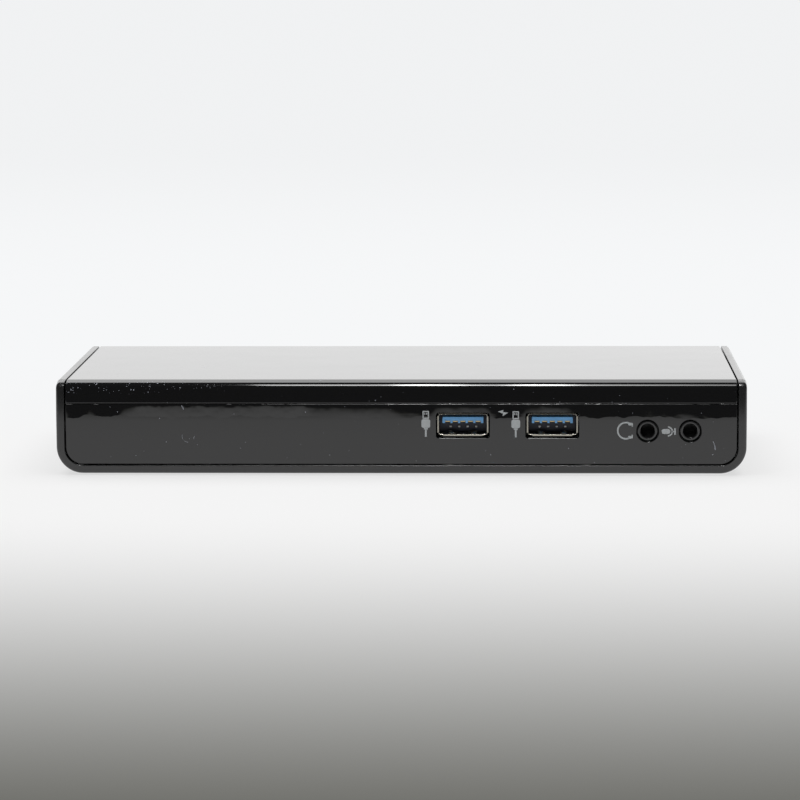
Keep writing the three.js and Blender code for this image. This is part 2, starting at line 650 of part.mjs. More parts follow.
// The wide video socket: a D-shaped metal collar on a flange, with a threaded nut at each side.
function wideVideo() {
  const flange = box(-19.4, 19.4, 2.4, 3.2, WIDE_VIDEO_CENTRE - 6.4, WIDE_VIDEO_CENTRE + 6.2);
  const collar = alongY(chamferedRect(26.2, 9.4, 1.6, 3.2, 0, WIDE_VIDEO_CENTRE), 0, 3);
  const hollow = alongY(chamferedRect(25.2, 8.4, 1.5, 3, 0, WIDE_VIDEO_CENTRE), -1, 4);
  const nutHoles = [-1, 1].map((side) => rodY(1.4, 0, 5, side * VIDEO_NUT_X, WIDE_VIDEO_CENTRE, 12));
  const shell = cut(join(flange, collar), hollow, ...nutHoles);
  const face = alongY(chamferedRect(24.8, 8, 1.4, 2.8, 0, WIDE_VIDEO_CENTRE), 0.6, 4);
  const insert = join(face, box(-14, 14, 3.4, 14, SIT, 14));
  const nuts = [['left', -1], ['right', 1]].map(([name, side]) => {
    const nut = cut(
      rodY(2.75, -1.8, 2.3, side * VIDEO_NUT_X, WIDE_VIDEO_CENTRE, 6),
      rodY(1.25, -3, 1.5, side * VIDEO_NUT_X, WIDE_VIDEO_CENTRE, 12),
    );
    return piece('video_nut_' + name, nut, steel);
  });
  return assembly(
    piece('video_wide_shell', shell, steel),
    piece('video_wide_insert', insert, blackInsert),
    ...nuts,
  );
}

// Turns a socket round so that its mouth faces the back, and stands it on the main board.
function atRear(socket, x) {
  socket.rotation.z = Math.PI;
  return placed(socket, x, REAR_MATE, MAIN_TOP);
}

function sockets() {
  return assembly(
    ...FRONT_USB.map(frontUsb),
    ...AUDIO.map(audioJack),
    atRear(dcInlet(), DC_X),
    atRear(usbB(), USB_B_X),
    atRear(networkJack(), NETWORK_X),
    ...USB_STACKS.map((stack) => atRear(usbStack(stack), stack[1])),
    atRear(smallVideo(), SMALL_VIDEO_X),
    atRear(wideVideo(), WIDE_VIDEO_X),
  );
}

// ---- Power button and status light in the right-hand end --------------------------------------

function powerButton() {
  const collarR = 5.4;
  const cap = rodX(BUTTON_R, INSIDE - 0.6, HALF - 0.2, BUTTON_Y, END_Z, 24);
  const collar = rodX(collarR, INSIDE - 1.8, INSIDE - 0.5, BUTTON_Y, END_Z, 24);
  const stem = rodX(1.6, 81.4, INSIDE - 1, BUTTON_Y, END_Z, 12);
  return join(cap, collar, stem);
}

function powerSwitch() {
  const body = box(73.2, 78.2, BUTTON_Y - 3, BUTTON_Y + 3, MAIN_TOP + SIT, END_Z + 3);
  return cut(body, rodX(1.3, 75.5, 79, BUTTON_Y, END_Z, 12));
}

// Clear rod that carries the light of the lamp on the board out through the end wall.
function lightPipe() {
  const foot = box(75.6, 77.6, LIGHT_Y - 1, LIGHT_Y + 1, MAIN_TOP + 1.6, END_Z);
  return join(foot, rodX(LIGHT_R, 75.6, HALF - 0.1, LIGHT_Y, END_Z, 12));
}

function rightEnd() {
  return assembly(
    piece('power_button', powerButton(), satinBlack),
    piece('switch_plunger', rodX(1.1, 76.4, 81.2, BUTTON_Y, END_Z, 12), ribbonWhite),
    piece('power_switch', powerSwitch(), blackInsert),
    piece('light_pipe', lightPipe(), clearPlastic),
    piece('status_lamp', box(75.8, 77.4, LIGHT_Y - 0.6, LIGHT_Y + 0.6, MAIN_TOP + SIT, MAIN_TOP + 1.2),
      ribbonWhite),
  );
}

const dockingStation = assembly(housing(), boards(), sockets(), rightEnd());

export default dockingStation;
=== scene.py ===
# %% [markdown]
# # A laptop docking station, finished in Blender
# The frame holds the engineering model: every node is in its place and has its true size, but its
# edges are sharp and its surfaces are plain. This lesson makes the pieces that are seen again, with
# the rounded edges, seams, contacts and finishes of the real object, exactly where the frame says.
# All lengths are in metres. X runs along the bar, -Y is the front and +Z is up.

import math

import bmesh
import bpy
from mathutils import Matrix, Vector


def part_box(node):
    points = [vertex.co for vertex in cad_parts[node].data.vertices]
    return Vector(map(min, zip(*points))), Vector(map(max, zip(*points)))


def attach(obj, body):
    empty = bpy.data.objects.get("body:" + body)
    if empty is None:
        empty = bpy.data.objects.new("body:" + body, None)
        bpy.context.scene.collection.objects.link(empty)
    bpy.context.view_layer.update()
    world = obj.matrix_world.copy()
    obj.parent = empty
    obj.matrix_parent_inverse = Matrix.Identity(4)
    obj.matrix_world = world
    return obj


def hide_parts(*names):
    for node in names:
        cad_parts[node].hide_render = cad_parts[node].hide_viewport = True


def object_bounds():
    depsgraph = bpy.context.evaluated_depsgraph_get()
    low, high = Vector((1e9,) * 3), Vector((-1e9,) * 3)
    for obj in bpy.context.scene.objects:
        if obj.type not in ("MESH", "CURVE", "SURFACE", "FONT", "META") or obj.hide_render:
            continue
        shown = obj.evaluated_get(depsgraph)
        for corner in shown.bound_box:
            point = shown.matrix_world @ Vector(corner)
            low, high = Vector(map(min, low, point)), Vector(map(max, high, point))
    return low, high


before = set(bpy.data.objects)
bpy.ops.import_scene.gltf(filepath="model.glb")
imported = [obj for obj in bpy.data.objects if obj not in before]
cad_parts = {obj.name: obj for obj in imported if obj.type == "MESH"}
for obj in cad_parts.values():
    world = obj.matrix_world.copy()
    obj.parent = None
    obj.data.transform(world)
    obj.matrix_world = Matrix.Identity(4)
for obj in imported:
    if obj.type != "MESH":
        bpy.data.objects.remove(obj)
cad_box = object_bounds()

MM = 0.001
HOUSING = "housing"
BUTTON = "button"
scene = bpy.context.scene
size_mm = [round((high - low) / MM, 1) for low, high in zip(*cad_box)]
print("frame loaded:", len(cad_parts), "nodes,", size_mm, "mm")

# %% [markdown]
# ## The camera
# A long lens from a little above and slightly to the right. The top is seen at a grazing angle, so
# most of the picture is the front face. It comes first because later steps are judged through it.

# %% Place the camera
def make_camera(place, yaw, pitch, roll, lens):
    data = bpy.data.cameras.new("camera")
    data.lens = lens
    data.sensor_width = 36.0
    data.clip_end = 20.0
    camera = bpy.data.objects.new("camera", data)
    scene.collection.objects.link(camera)
    turn = Matrix.Rotation(math.radians(yaw), 4, "Z")
    tilt = Matrix.Rotation(math.radians(90.0 - pitch), 4, "X")
    lean = Matrix.Rotation(math.radians(roll), 4, "Z")
    camera.matrix_world = Matrix.Translation(place) @ turn @ tilt @ lean
    scene.camera = camera
    return camera


camera = make_camera(place=(0.0300, -0.8762, 0.1410), yaw=2.05, pitch=8.20, roll=-0.285, lens=145.1)
print("camera: lens", camera.data.lens, "mm")

# %% [markdown]
# ## The room
# A gloss black object shows mostly what it reflects. So the room is part of its look: a pale table
# that ends a short way in front, a bright wall behind, which only the reflections see, and a dark
# room around the camera. The panel then shows the table, the visor shows the dark, and the top
# shows the wall.

# %% A tree of shader nodes, written as expressions
def math_node(kind, swapped=False):
    """A method that adds one Math node. A swapped one puts the other value first."""
    def method(value, *others):
        values = (*others, value) if swapped else (value, *others)
        return value.tree.node("ShaderNodeMath", {"operation": kind}, values)[0]
    return method


class Value:
    """A shader socket that can be used in sums. Each operation adds one Math node."""

    __add__ = math_node("ADD")
    __radd__ = math_node("ADD", swapped=True)
    __sub__ = math_node("SUBTRACT")
    __rsub__ = math_node("SUBTRACT", swapped=True)
    __mul__ = math_node("MULTIPLY")
    __lt__ = math_node("LESS_THAN")
    __gt__ = math_node("GREATER_THAN")
    at_least = math_node("MAXIMUM")
    at_most = math_node("MINIMUM")
    size = math_node("ABSOLUTE")
    part = math_node("FRACT")  # what is left after the whole number is taken away

    def __init__(self, tree, socket):
        self.tree = tree
        self.socket = socket


class Tree:
    """The node tree of one material, or of the world."""

    def __init__(self, owner):
        owner.use_nodes = True
        self.nodes = owner.node_tree.nodes
        self.links = owner.node_tree.links
        self.nodes.clear()

    def node(self, kind, settings=None, inputs=()):
        """Adds a node: its settings first, then its inputs by place or by name. Returns its outputs."""
        made = self.nodes.new(kind)
        for name, value in (settings or {}).items():
            setattr(made, name, value)
        pairs = inputs.items() if isinstance(inputs, dict) else enumerate(inputs)
        for key, value in pairs:
            if isinstance(value, Value):
                self.links.new(value.socket, made.inputs[key])
            elif value is not None:
                made.inputs[key].default_value = value
        return [Value(self, socket) for socket in made.outputs]

    def place(self):
        """Where a point lies in the row's frame, in metres, as one vector."""
        return self.node("ShaderNodeTexCoord")[3]

    def axes(self):
        """Where a point lies, as three numbers."""
        return self.node("ShaderNodeSeparateXYZ", inputs=[self.place()])[:3]

    def stretched(self, scale):
        """The place with each axis scaled, which stretches a pattern along the axes scaled least."""
        return self.node("ShaderNodeVectorMath", {"operation": "MULTIPLY"}, [self.place(), scale])[0]

    def noise(self, scale, detail=3.0, roughness=0.5, vector=None):
        """Smooth noise from 0 to 1 with about scale bumps a metre."""
        inputs = {
            "Vector": vector or self.place(), "Scale": scale, "Detail": detail, "Roughness": roughness,
        }
        return self.node("ShaderNodeTexNoise", inputs=inputs)[0]

    def cells(self, scale, vector=None):
        """Distance to the nearest of random points, and that point's own random colour."""
        inputs = {"Vector": vector or self.place(), "Scale": scale}
        return self.node("ShaderNodeTexVoronoi", inputs=inputs)[:2]

    def between(self, value, low, high, to_low=0.0, to_high=1.0):
        """Turns low..high into to_low..to_high, smoothly and clamped."""
        inputs = {
            "Value": value, "From Min": low, "From Max": high, "To Min": to_low, "To Max": to_high,
        }
        return self.node("ShaderNodeMapRange", {"interpolation_type": "SMOOTHSTEP"}, inputs)[0]

    def mix(self, mask, first, second):
        """A colour that goes from first to second as mask goes from 0 to 1."""
        inputs = {0: mask, 6: first, 7: second}
        return self.node("ShaderNodeMix", {"data_type": "RGBA"}, inputs)[2]

    def bump(self, height, strength=1.0, normal=None):
        """A normal for the surface's fine relief, with height in metres."""
        inputs = {"Height": height, "Strength": strength, "Distance": 1.0, "Normal": normal}
        return self.node("ShaderNodeBump", inputs=inputs)[0]


def shade(level, tint=(1.0, 1.0, 1.0)):
    """A linear colour of one level, with a slight tint."""
    return (level * tint[0], level * tint[1], level * tint[2], 1.0)


def finish(name, recipe):
    """Makes a material whose Principled shader gets the inputs that recipe(tree) returns."""
    material = bpy.data.materials.new(name)
    tree = Tree(material)
    surface = tree.node("ShaderNodeBsdfPrincipled", inputs=recipe(tree))[0]
    tree.node("ShaderNodeOutputMaterial", inputs=[surface])
    return material


print("shader helpers ready")

# %% [markdown]
# The table is one pale sheet. Its colour is darkened towards the camera as painted shade, as the light
# falls off where a soft light hangs over the object only, and far behind it glows by itself, so that it
# meets the pale surroundings without a line. The wall and the strip above are plain emitting sheets,
# which only reflections see.

# %% Build the room
TABLE_FRONT = -0.42
TABLE_BACK = 1.3
TABLE_HALF = 2.4
FULL_TONE = -0.09   # from here back the table has its full tone
GLOW_FROM = -0.03   # between these two the table turns from a lit sheet into a glowing one
GLOW_FULL = 0.20
PALE = (0.885, 0.93)
COOL = (0.99, 1.0, 1.01)
OWN_LIGHT = 0.75
DIM_ROOM = 0.07


def sheet(name, corners, material):
    mesh = bpy.data.meshes.new(name)
    mesh.from_pydata(corners, [], [tuple(range(len(corners)))])
    mesh.materials.append(material)
    made = bpy.data.objects.new(name, mesh)
    scene.collection.objects.link(made)
    return made


def glowing(name, recipe):
    """An emitting material. recipe(tree) gives its brightness, as a number or a Value."""
    material = bpy.data.materials.new(name)
    tree = Tree(material)
    light = tree.node("ShaderNodeEmission", inputs={"Color": shade(1.0), "Strength": recipe(tree)})[0]
    tree.node("ShaderNodeOutputMaterial", inputs=[light])
    return material


def table_recipe(tree):
    """Part of the table's tone is its own light, which keeps the shadow round the object faint."""
    y = tree.axes()[1]
    pale = tree.between(y, TABLE_FRONT, FULL_TONE)
    glow = tree.between(y, GLOW_FROM, GLOW_FULL)
    near, far = (shade(level, COOL) for level in reversed(PALE))
    # Painted shade: the tone darkens and warms towards the camera, where the light over the object falls
    # off.
    tone = tree.mix(pale, shade(0.12, (1.0, 1.0, 0.86)), shade(0.97))
    own = tree.mix(OWN_LIGHT * 0.92, shade(0.0), tone)
    return {
        "Base Color": tree.mix(OWN_LIGHT + glow * (1.0 - OWN_LIGHT), tone, shade(0.0)),
        "Roughness": 0.55 + tree.noise(900.0, 4.0) * 0.02,
        "Specular IOR Level": 0.0,
        "Emission Color": tree.mix(glow, own, tree.mix(tree.between(y, 0.35, TABLE_BACK), near, far)),
        "Emission Strength": 1.0,
    }


def wall_recipe(tree):
    """A little brighter low on the right and high on the left."""
    x, _, z = tree.axes()
    return 1.42 + x * (0.45 - z * 1.9)


def strip_recipe(tree):
    """A row of lamps: a faint bar with two bright stretches."""
    x = tree.axes()[0]
    lamps = tree.between((x + 0.019).size(), 0.030, 0.0) + tree.between((x - 0.045).size(), 0.026, 0.0)
    return 4.0 + tree.between(x, 0.17, 0.02) * 5.0 + lamps * 30.0


def upright(x, y, z0, z1):
    return [(-x, y, z0), (x, y, z0), (x, y, z1), (-x, y, z1)]


def level(x0, x1, y0, y1, z):
    return [(x0, y0, z), (x1, y0, z), (x1, y1, z), (x0, y1, z)]


sheet("table", level(-TABLE_HALF, TABLE_HALF, TABLE_FRONT, TABLE_BACK, 0.0),
      finish("table_white", table_recipe))
wall = sheet("reflected_wall", upright(1.6, 1.1, 0.0, 0.84), glowing("wall_light", wall_recipe))
strip = sheet("reflected_strip", level(-0.12, 0.17, -0.50, -0.08, 1.0),
              glowing("strip_light", strip_recipe))
for unseen in (wall, strip):
    unseen.visible_camera = False
    unseen.visible_diffuse = False

lamp = bpy.data.lights.new("soft_top", "AREA")
lamp.size = 1.5
lamp.energy = 19.0
light = bpy.data.objects.new("soft_top", lamp)
light.location = (0.0, 0.10, 1.1)
light.rotation_euler = (Vector((0.0, 0.05, 0.0)) - light.location).to_track_quat("-Z", "Y").to_euler()
light.visible_glossy = False
scene.collection.objects.link(light)

# The camera sees pale surroundings, and everything else sees a dim room.
world = bpy.data.worlds.new("room")
room = Tree(world)
dim, bright = (
    room.node("ShaderNodeBackground", inputs={"Color": colour, "Strength": strength})[0]
    for colour, strength in ((shade(1.0), DIM_ROOM), (shade(PALE[0], COOL), 1.0))
)
seen = room.node("ShaderNodeLightPath")[0]
around = room.node("ShaderNodeMixShader", inputs=[seen, dim, bright])[0]
room.node("ShaderNodeOutputWorld", inputs=[around])
scene.world = world
scene.view_settings.view_transform = "Standard"
print("room ready")

# %% [markdown]
# ## Shapes from outlines
# Most parts of the housing are plates: some flat, some bent. One helper makes them all. A plate has
# two long edges, given as stations, and the helper rounds each edge, puts a skin on both sides and
# closes the ends. Sockets and plugs are lofts: the same outline repeated at several depths.

# %% Outlines
def arc(cx, cz, radius, start, stop, steps):
    """Points on a circle from angle start to stop in degrees, both ends included."""
    angles = [math.radians(start + (stop - start) * i / steps) for i in range(steps + 1)]
    return [(cx + radius * math.cos(a), cz + radius * math.sin(a)) for a in angles]


def rounded_rect(width, height, radius, cx=0.0, cz=0.0, steps=5):
    x = width / 2 - radius
    z = height / 2 - radius
    return (
        arc(cx + x, cz - z, radius, -90, 0, steps)
        + arc(cx + x, cz + z, radius, 0, 90, steps)
        + arc(cx - x, cz + z, radius, 90, 180, steps)
        + arc(cx - x, cz - z, radius, 180, 270, steps)
    )


def circle(radius, cx=0.0, cz=0.0, steps=48):
    return arc(cx, cz, radius, 0, 360, steps)[:-1]


def at_y(outline, y):
    """Sets an outline of (x, z) points up at one y."""
    return [(x, y, z) for x, z in outline]


def at_x(outline, x):
    """Sets an outline of (y, z) points up at one x."""
    return [(x, y, z) for y, z in outline]


def at_z(outline, z):
    """Lays an outline of (x, y) points down at one z."""
    return [(x, y, z) for x, y in outline]

# %% From points to closed solids
def solid(name, build):
    """Makes an object from what build(mesh) adds to an empty mesh, with its faces pointing out."""
    bm = bmesh.new()
    build(bm)
    bmesh.ops.remove_doubles(bm, verts=bm.verts, dist=1e-7)
    bmesh.ops.recalc_face_normals(bm, faces=bm.faces)
    mesh = bpy.data.meshes.new(name)
    bm.to_mesh(mesh)
    bm.free()
    made = bpy.data.objects.new(name, mesh)
    scene.collection.objects.link(made)
    return made


def add_loft(bm, loops, closed=False):
    """Joins loops of equal length one after the other. Open lofts get a flat end at each end."""
    rings = [[bm.verts.new(point) for point in loop] for loop in loops]
    count = len(rings[0])
    pairs = list(zip(rings, rings[1:])) + ([(rings[-1], rings[0])] if closed else [])
    for low, high in pairs:
        for i in range(count):
            j = (i + 1) % count
            bm.faces.new((low[i], low[j], high[j], high[i]))
    if not closed:
        bm.faces.new(rings[0])
        bm.faces.new(rings[-1])


def loft(name, *lofts, closed=False):
    """An object of one or more lofts that don't touch each other."""
    def build(bm):
        for loops in lofts:
            add_loft(bm, loops, closed)
    return solid(name, build)


def quarter(radius, steps):
    """A quarter turn as pairs: one number rises from 0 to the radius while the other falls to 0."""
    angles = [math.pi / 2 * k / steps for k in range(steps + 1)]
    return [(radius * (1 - math.cos(a)), radius * (1 - math.sin(a))) for a in angles]


def add_plate(bm, edge_a, edge_b, thickness, round_out, round_in, steps=4):
    """A bent plate between two edges of (point, normal, inward) stations on its outer skin."""
    profile = quarter(round_out, steps)
    profile += [(thickness - fall, rise) for rise, fall in quarter(round_in, steps)]

    def rim(stations):
        rows = []
        for point, normal, inward in stations:
            skin, out, across = Vector(point), Vector(normal), Vector(inward)
            rows.append([bm.verts.new(skin - out * depth + across * inset) for depth, inset in profile])
        return rows

    a, b = rim(edge_a), rim(edge_b)
    last = len(a) - 1
    for i in range(last):
        for k in range(len(profile) - 1):
            bm.faces.new((a[i][k], a[i][k + 1], a[i + 1][k + 1], a[i + 1][k]))
            bm.faces.new((b[i][k], b[i + 1][k], b[i + 1][k + 1], b[i][k + 1]))
        bm.faces.new((a[i][0], a[i + 1][0], b[i + 1][0], b[i][0]))
        bm.faces.new((a[i][-1], b[i][-1], b[i + 1][-1], a[i + 1][-1]))
    for i in (0, last):
        for k in range(len(profile) - 1):
            bm.faces.new((a[i][k], b[i][k], b[i][k + 1], a[i][k + 1]))


def plate(name, edge_a, edge_b, thickness, round_out, round_in, steps=4):
    return solid(name, lambda bm: add_plate(bm, edge_a, edge_b, thickness, round_out, round_in, steps))

# %% Finishing a mesh
def baked(piece):
    """Applies a piece's modifiers by reading back the evaluated mesh."""
    depsgraph = bpy.context.evaluated_depsgraph_get()
    mesh = bpy.data.meshes.new_from_object(piece.evaluated_get(depsgraph))
    mesh.name = piece.name
    piece.modifiers.clear()
    piece.data = mesh
    return piece


def cut(piece, *tools):
    """Takes the tools' shapes out of a piece, then removes the tools."""
    for tool in tools:
        modifier = piece.modifiers.new("cut", "BOOLEAN")
        modifier.operation = "DIFFERENCE"
        modifier.solver = "EXACT"
        modifier.object = tool
    bpy.context.view_layer.update()
    baked(piece)
    for tool in tools:
        bpy.data.objects.remove(tool)
    return piece


def smooth(piece, angle=35.0):
    """Shades round stretches smooth and keeps flat faces flat, by weighting normals by face size."""
    mesh = piece.data
    mesh.shade_smooth()
    mesh.set_sharp_from_angle(angle=math.radians(angle))
    modifier = piece.modifiers.new("weighted", "WEIGHTED_NORMAL")
    modifier.keep_sharp = True
    modifier.weight = 100
    bpy.context.view_layer.update()
    return baked(piece)


def dress(piece, material, slot, *nodes, body=HOUSING):
    """Gives a piece its material and its body, and says which nodes it replaces. Its slot is not used.
    """
    piece.data.materials.clear()
    piece.data.materials.append(material)
    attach(piece, body)
    if nodes:
        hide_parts(*nodes)
    print(f"{piece.name}: {len(piece.data.polygons)} faces")
    return piece


print("shape helpers ready")

# %% [markdown]
# ## The finishes
# Each finish is a short recipe: a colour, a roughness and a fine relief, all driven by where a
# point lies on the object. Gloss plastic is nearly black and gets its looks from reflections, so
# its recipe is about dust, smudges and the very slight waviness that moulding leaves.

# %% Dust and lint
def on_skin(tree, shift=0.0):
    """A place on the skin: x along the bar, and y + z, which runs up the front and over the top."""
    x, y, z = tree.axes()
    return tree.node("ShaderNodeCombineXYZ", inputs=[x + shift, y + z + shift, 0.0])[0]


def dust(tree, density, radius, share, shift=0.0):
    """A mask of specks, in cells of which about density fit in a metre and a share holds one."""
    distance, chance = tree.cells(density, on_skin(tree, shift))
    draw, size = tree.node("ShaderNodeSeparateColor", inputs=[chance])[:2]
    return (distance < (0.35 + size * size) * (radius * density)) * (draw > 1.0 - share)


HAIR_WAVES = 260.0
HAIR_SPOTS = 95.0


def lint(tree, width, share):
    """A mask of short curved hairs: thin contour lines of a smooth noise, kept in a few round spots."""
    distance, chance = tree.cells(HAIR_SPOTS, on_skin(tree, 0.4))
    draw = tree.node("ShaderNodeSeparateColor", inputs=[chance])[0]
    waves = tree.noise(HAIR_WAVES, 0.0, vector=on_skin(tree))
    return ((waves - 0.5).size() < width * HAIR_WAVES) * (distance < 0.16) * (draw > 1.0 - share)

# %% Gloss and satin black
GLOSS_IOR = 1.62
DIRT_TONE = (0.60, (0.92, 0.96, 1.1))
SETTLED_Z = (0.0214, 0.0226)    # dust has settled on the nose above this height,
SETTLED_X = (-0.040, -0.066)    # more and more towards the left end,
SETTLED_Y = 0.0345              # and only this far forward


def gloss_recipe(ripple=None):
    """Gloss black. ripple(tree) may add a waviness of its own, in metres."""
    def recipe(tree):
        x, y, z = tree.axes()
        smudge = tree.between(tree.noise(38.0, 4.0, 0.6), 0.42, 0.72)
        fine = dust(tree, 620.0, 0.00011, 0.55)
        coarse = dust(tree, 90.0, 0.00022, 0.34, 0.7)
        on_nose = tree.between(z, *SETTLED_Z) * tree.between(x, *SETTLED_X) * (0.0 - y > SETTLED_Y)
        settled = dust(tree, 1500.0, 0.00015, 0.60, 0.2) * on_nose * 0.7
        dirt = (fine * 0.55 + coarse * 0.8 + lint(tree, 0.00008, 0.35) * 0.5 + settled).at_most(1.0)
        wave = tree.noise(55.0, 1.0) * (0.04 * MM)
        if ripple:
            wave = wave + ripple(tree)
        return {
            "Base Color": tree.mix(dirt, shade(0.0045, (1.0, 1.0, 1.1)), shade(*DIRT_TONE)),
            "Roughness": 0.045 + smudge * 0.02 + dirt * 0.5,
            "IOR": GLOSS_IOR,
            "Normal": tree.bump(wave),
        }
    return recipe


def satin_black_recipe(tree):
    cloud = tree.noise(60.0, 4.0)
    specks = dust(tree, 240.0, 0.00014, 0.35)
    return {
        "Base Color": tree.mix(specks * 0.5, shade(0.017, (1.0, 1.0, 1.03)), shade(0.3)),
        "Roughness": 0.17 + cloud * 0.08 + specks * 0.4,
        "IOR": GLOSS_IOR,
        "Normal": tree.bump(tree.noise(4200.0, 2.0) * (0.0016 * MM)),
    }

# %% Nylon and rubber
def grained(tree, grain, low, high, rough, rise, relief=0.0, **more):
    """Inputs that follow one pattern: the tone, the roughness and, in millimetres, the relief."""
    inputs = {"Base Color": tree.mix(grain, low, high), "Roughness": rough + grain * rise, **more}
    if relief:
        inputs["Normal"] = tree.bump(grain * (relief * MM))
    return inputs


def darker(colour, share):
    return tuple(c * share for c in colour[:3]) + (1.0,)


def nylon_recipe(colour, glass=0.35):
    """Moulded nylon: faint flow lines and a fine eggshell."""
    def recipe(tree):
        flow = tree.noise(1.0, 3.0, vector=tree.stretched((400.0, 120.0, 1400.0)))
        eggshell = tree.bump(tree.noise(5200.0, 2.0) * (0.003 * MM))
        return grained(tree, flow, colour, darker(colour, 0.72), glass, 0.12, Normal=eggshell)
    return recipe


def rubber_recipe(tree):
    powder = tree.between(tree.noise(700.0, 5.0, 0.7), 0.45, 0.75)
    pores = tree.bump(tree.noise(2600.0, 3.0) * (0.02 * MM))
    return grained(tree, powder, shade(0.012), shade(0.05), 0.75, 0.2, Normal=pores)


gloss_black = finish("gloss_black", gloss_recipe())
satin_black = finish("satin_black", satin_black_recipe)
black_nylon = finish("black_nylon", nylon_recipe(shade(0.010)))
blue_nylon = finish("blue_nylon", nylon_recipe((0.20, 0.52, 0.95, 1.0), 0.25))
rubber = finish("rubber", rubber_recipe)
print("plastics ready")

# %% [markdown]
# Metals carry the marks of how they were made: drawn sheet has long faint streaks, and gold plating
# is smooth with a warmer, darker tone where it is worn. The ink of the pictograms is a thin matt
# layer with a slightly uneven edge to its tone.

# %% Metals and ink
INK_TINT = (0.95, 1.0, 1.02)


def sheet_metal_recipe(colour, streaks=(300.0, 2600.0, 2600.0), gloss=0.18):
    """Drawn sheet: long faint streaks, darker stains and a very low relief."""
    def recipe(tree):
        streak = tree.noise(1.0, 4.0, 0.6, tree.stretched(streaks))
        stain = tree.between(tree.noise(350.0, 3.0), 0.5, 0.8)
        return {
            "Base Color": tree.mix(stain * 0.6 + streak * 0.2, colour, darker(colour, 0.62)),
            "Metallic": 1.0,
            "Roughness": gloss + streak * 0.16 + stain * 0.08,
            "Normal": tree.bump(streak * (0.002 * MM)),
        }
    return recipe


def ink_recipe(tree):
    patch = tree.noise(1800.0, 3.0)
    return grained(tree, patch, shade(0.60, INK_TINT), shade(0.44, INK_TINT), 0.42, 0.1)


tinned_steel = finish("tinned_steel", sheet_metal_recipe((0.41, 0.39, 0.34, 1.0)))
gold_plate = finish("gold_plate", sheet_metal_recipe((0.72, 0.55, 0.28, 1.0), gloss=0.22))
black_zinc = finish(
    "black_zinc", sheet_metal_recipe((0.10, 0.10, 0.105, 1.0), (900.0, 900.0, 900.0), 0.3))
zinc_plate = finish("zinc_plate", sheet_metal_recipe((0.50, 0.51, 0.52, 1.0), gloss=0.28))
ink = finish("ink", ink_recipe)
print("metals ready")

# %% [markdown]
# ## The side view that shapes the housing
# Seen from its end, the housing has an upright front that begins to lean back part of the way up,
# turns over in a small nose, and meets the flat top in a short bevel. Both the end walls and the
# cover follow this line, so it is worked out once, from a few radii.

# %% The line of the nose
case_low, case_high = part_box("bottom_case")
cover_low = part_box("top_cover")[0]
panel_low, panel_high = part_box("front_panel")

FRONT = case_low.y
BACK = case_high.y
TOP = case_high.z
UNDERSIDE = case_low.z
HALF = case_high.x

WALL = 2.2 * MM
CORNER_R = 7 * MM
LEAN_FROM = 14 * MM
LEAN_R = 70 * MM
LEAN_END = 7.3
NOSE_R = 1.9 * MM
BEVEL = 12.0
REAR_R = 2 * MM

lean_y = FRONT + LEAN_R
lean_top = math.radians(LEAN_END)
LEAN_TOP = LEAN_FROM + LEAN_R * math.sin(lean_top)
nose_y = lean_y - (LEAN_R - NOSE_R) * math.cos(lean_top)
nose_z = LEAN_FROM + (LEAN_R - NOSE_R) * math.sin(lean_top)


def turn(y, z, radius, start, stop, steps):
    """Stations round a bend: (y, z, y part, z part of the inward direction). 0 degrees is forward."""
    stations = []
    for i in range(steps + 1):
        a = math.radians(start + (stop - start) * i / steps)
        c, s = math.cos(a), math.sin(a)
        stations.append((y - radius * c, z + radius * s, c, -s))
    return stations


def nose_line(steps):
    """The nose, from the bevel down to the lean."""
    return turn(nose_y, nose_z, NOSE_R, 90 - BEVEL, LEAN_END, steps)


def rear_turn(steps):
    """The bend from the top down to the back."""
    return turn(BACK - REAR_R, TOP - REAR_R, REAR_R, 90, 180, steps)


def lean_angle(z):
    """How far the front leans back at height z, in radians."""
    return math.asin(max(z - LEAN_FROM, 0.0) / LEAN_R)


def face_y(z):
    """How far forward the front is at height z, up to the nose."""
    return lean_y - LEAN_R * math.cos(lean_angle(z))


def lean_line(steps, z_from, z_to):
    heights = [z_from + (z_to - z_from) * i / steps for i in range(steps + 1)]
    return [(face_y(z), z, math.cos(lean_angle(z)), -math.sin(lean_angle(z))) for z in heights]


bevel_y, bevel_z = nose_line(1)[0][:2]
top_front = bevel_y + (TOP - bevel_z) / math.tan(math.radians(BEVEL))
print("the top begins", round((top_front - FRONT) / MM, 2), "mm behind the front")

# %% [markdown]
# ## The case
# The floor and both end walls are one moulding, like a wide letter U. It is a single bent plate: its
# front edge and its back edge run up one end, across the floor and up the other. Rounding those
# edges gives the thin lines of light along the rims. A loft of boxes would need every corner
# rounded by hand, and the bevel tool is unsure where the walls turn over the nose.

# %% Bend the case
def case_edges():
    """The stations of the right half of the front and back edges, from the top down."""
    front_line = [(top_front, TOP, math.tan(math.radians(BEVEL / 2)), -1), *nose_line(14)]
    back_line = rear_turn(15)
    lean = lean_line(6, LEAN_TOP, LEAN_FROM)[1:]
    front_line += lean
    back_line += [(BACK, z, -1, 0) for _, z, _, _ in lean]
    front, back = (
        [((HALF, y, z), (1, 0, 0), (0, my, mz)) for y, z, my, mz in line]
        for line in (front_line, back_line)
    )
    centre = HALF - CORNER_R
    for x, z in arc(centre, UNDERSIDE + CORNER_R, CORNER_R, 0, -90, 18):
        out = ((x - centre) / CORNER_R, 0, (z - UNDERSIDE - CORNER_R) / CORNER_R)
        front.append(((x, FRONT, z), out, (0, 1, 0)))
        back.append(((x, BACK, z), out, (0, -1, 0)))
    return front, back


def full(half):
    """A whole edge from its right half."""
    mirrored = [tuple((-x, y, z) for x, y, z in station) for station in half]
    return half + mirrored[::-1]


front_edge, back_edge = (full(half) for half in case_edges())
case = plate("case_shell", front_edge, back_edge, WALL, 0.9 * MM, 0.2 * MM, 6)
print("case bent from", len(front_edge), "stations")

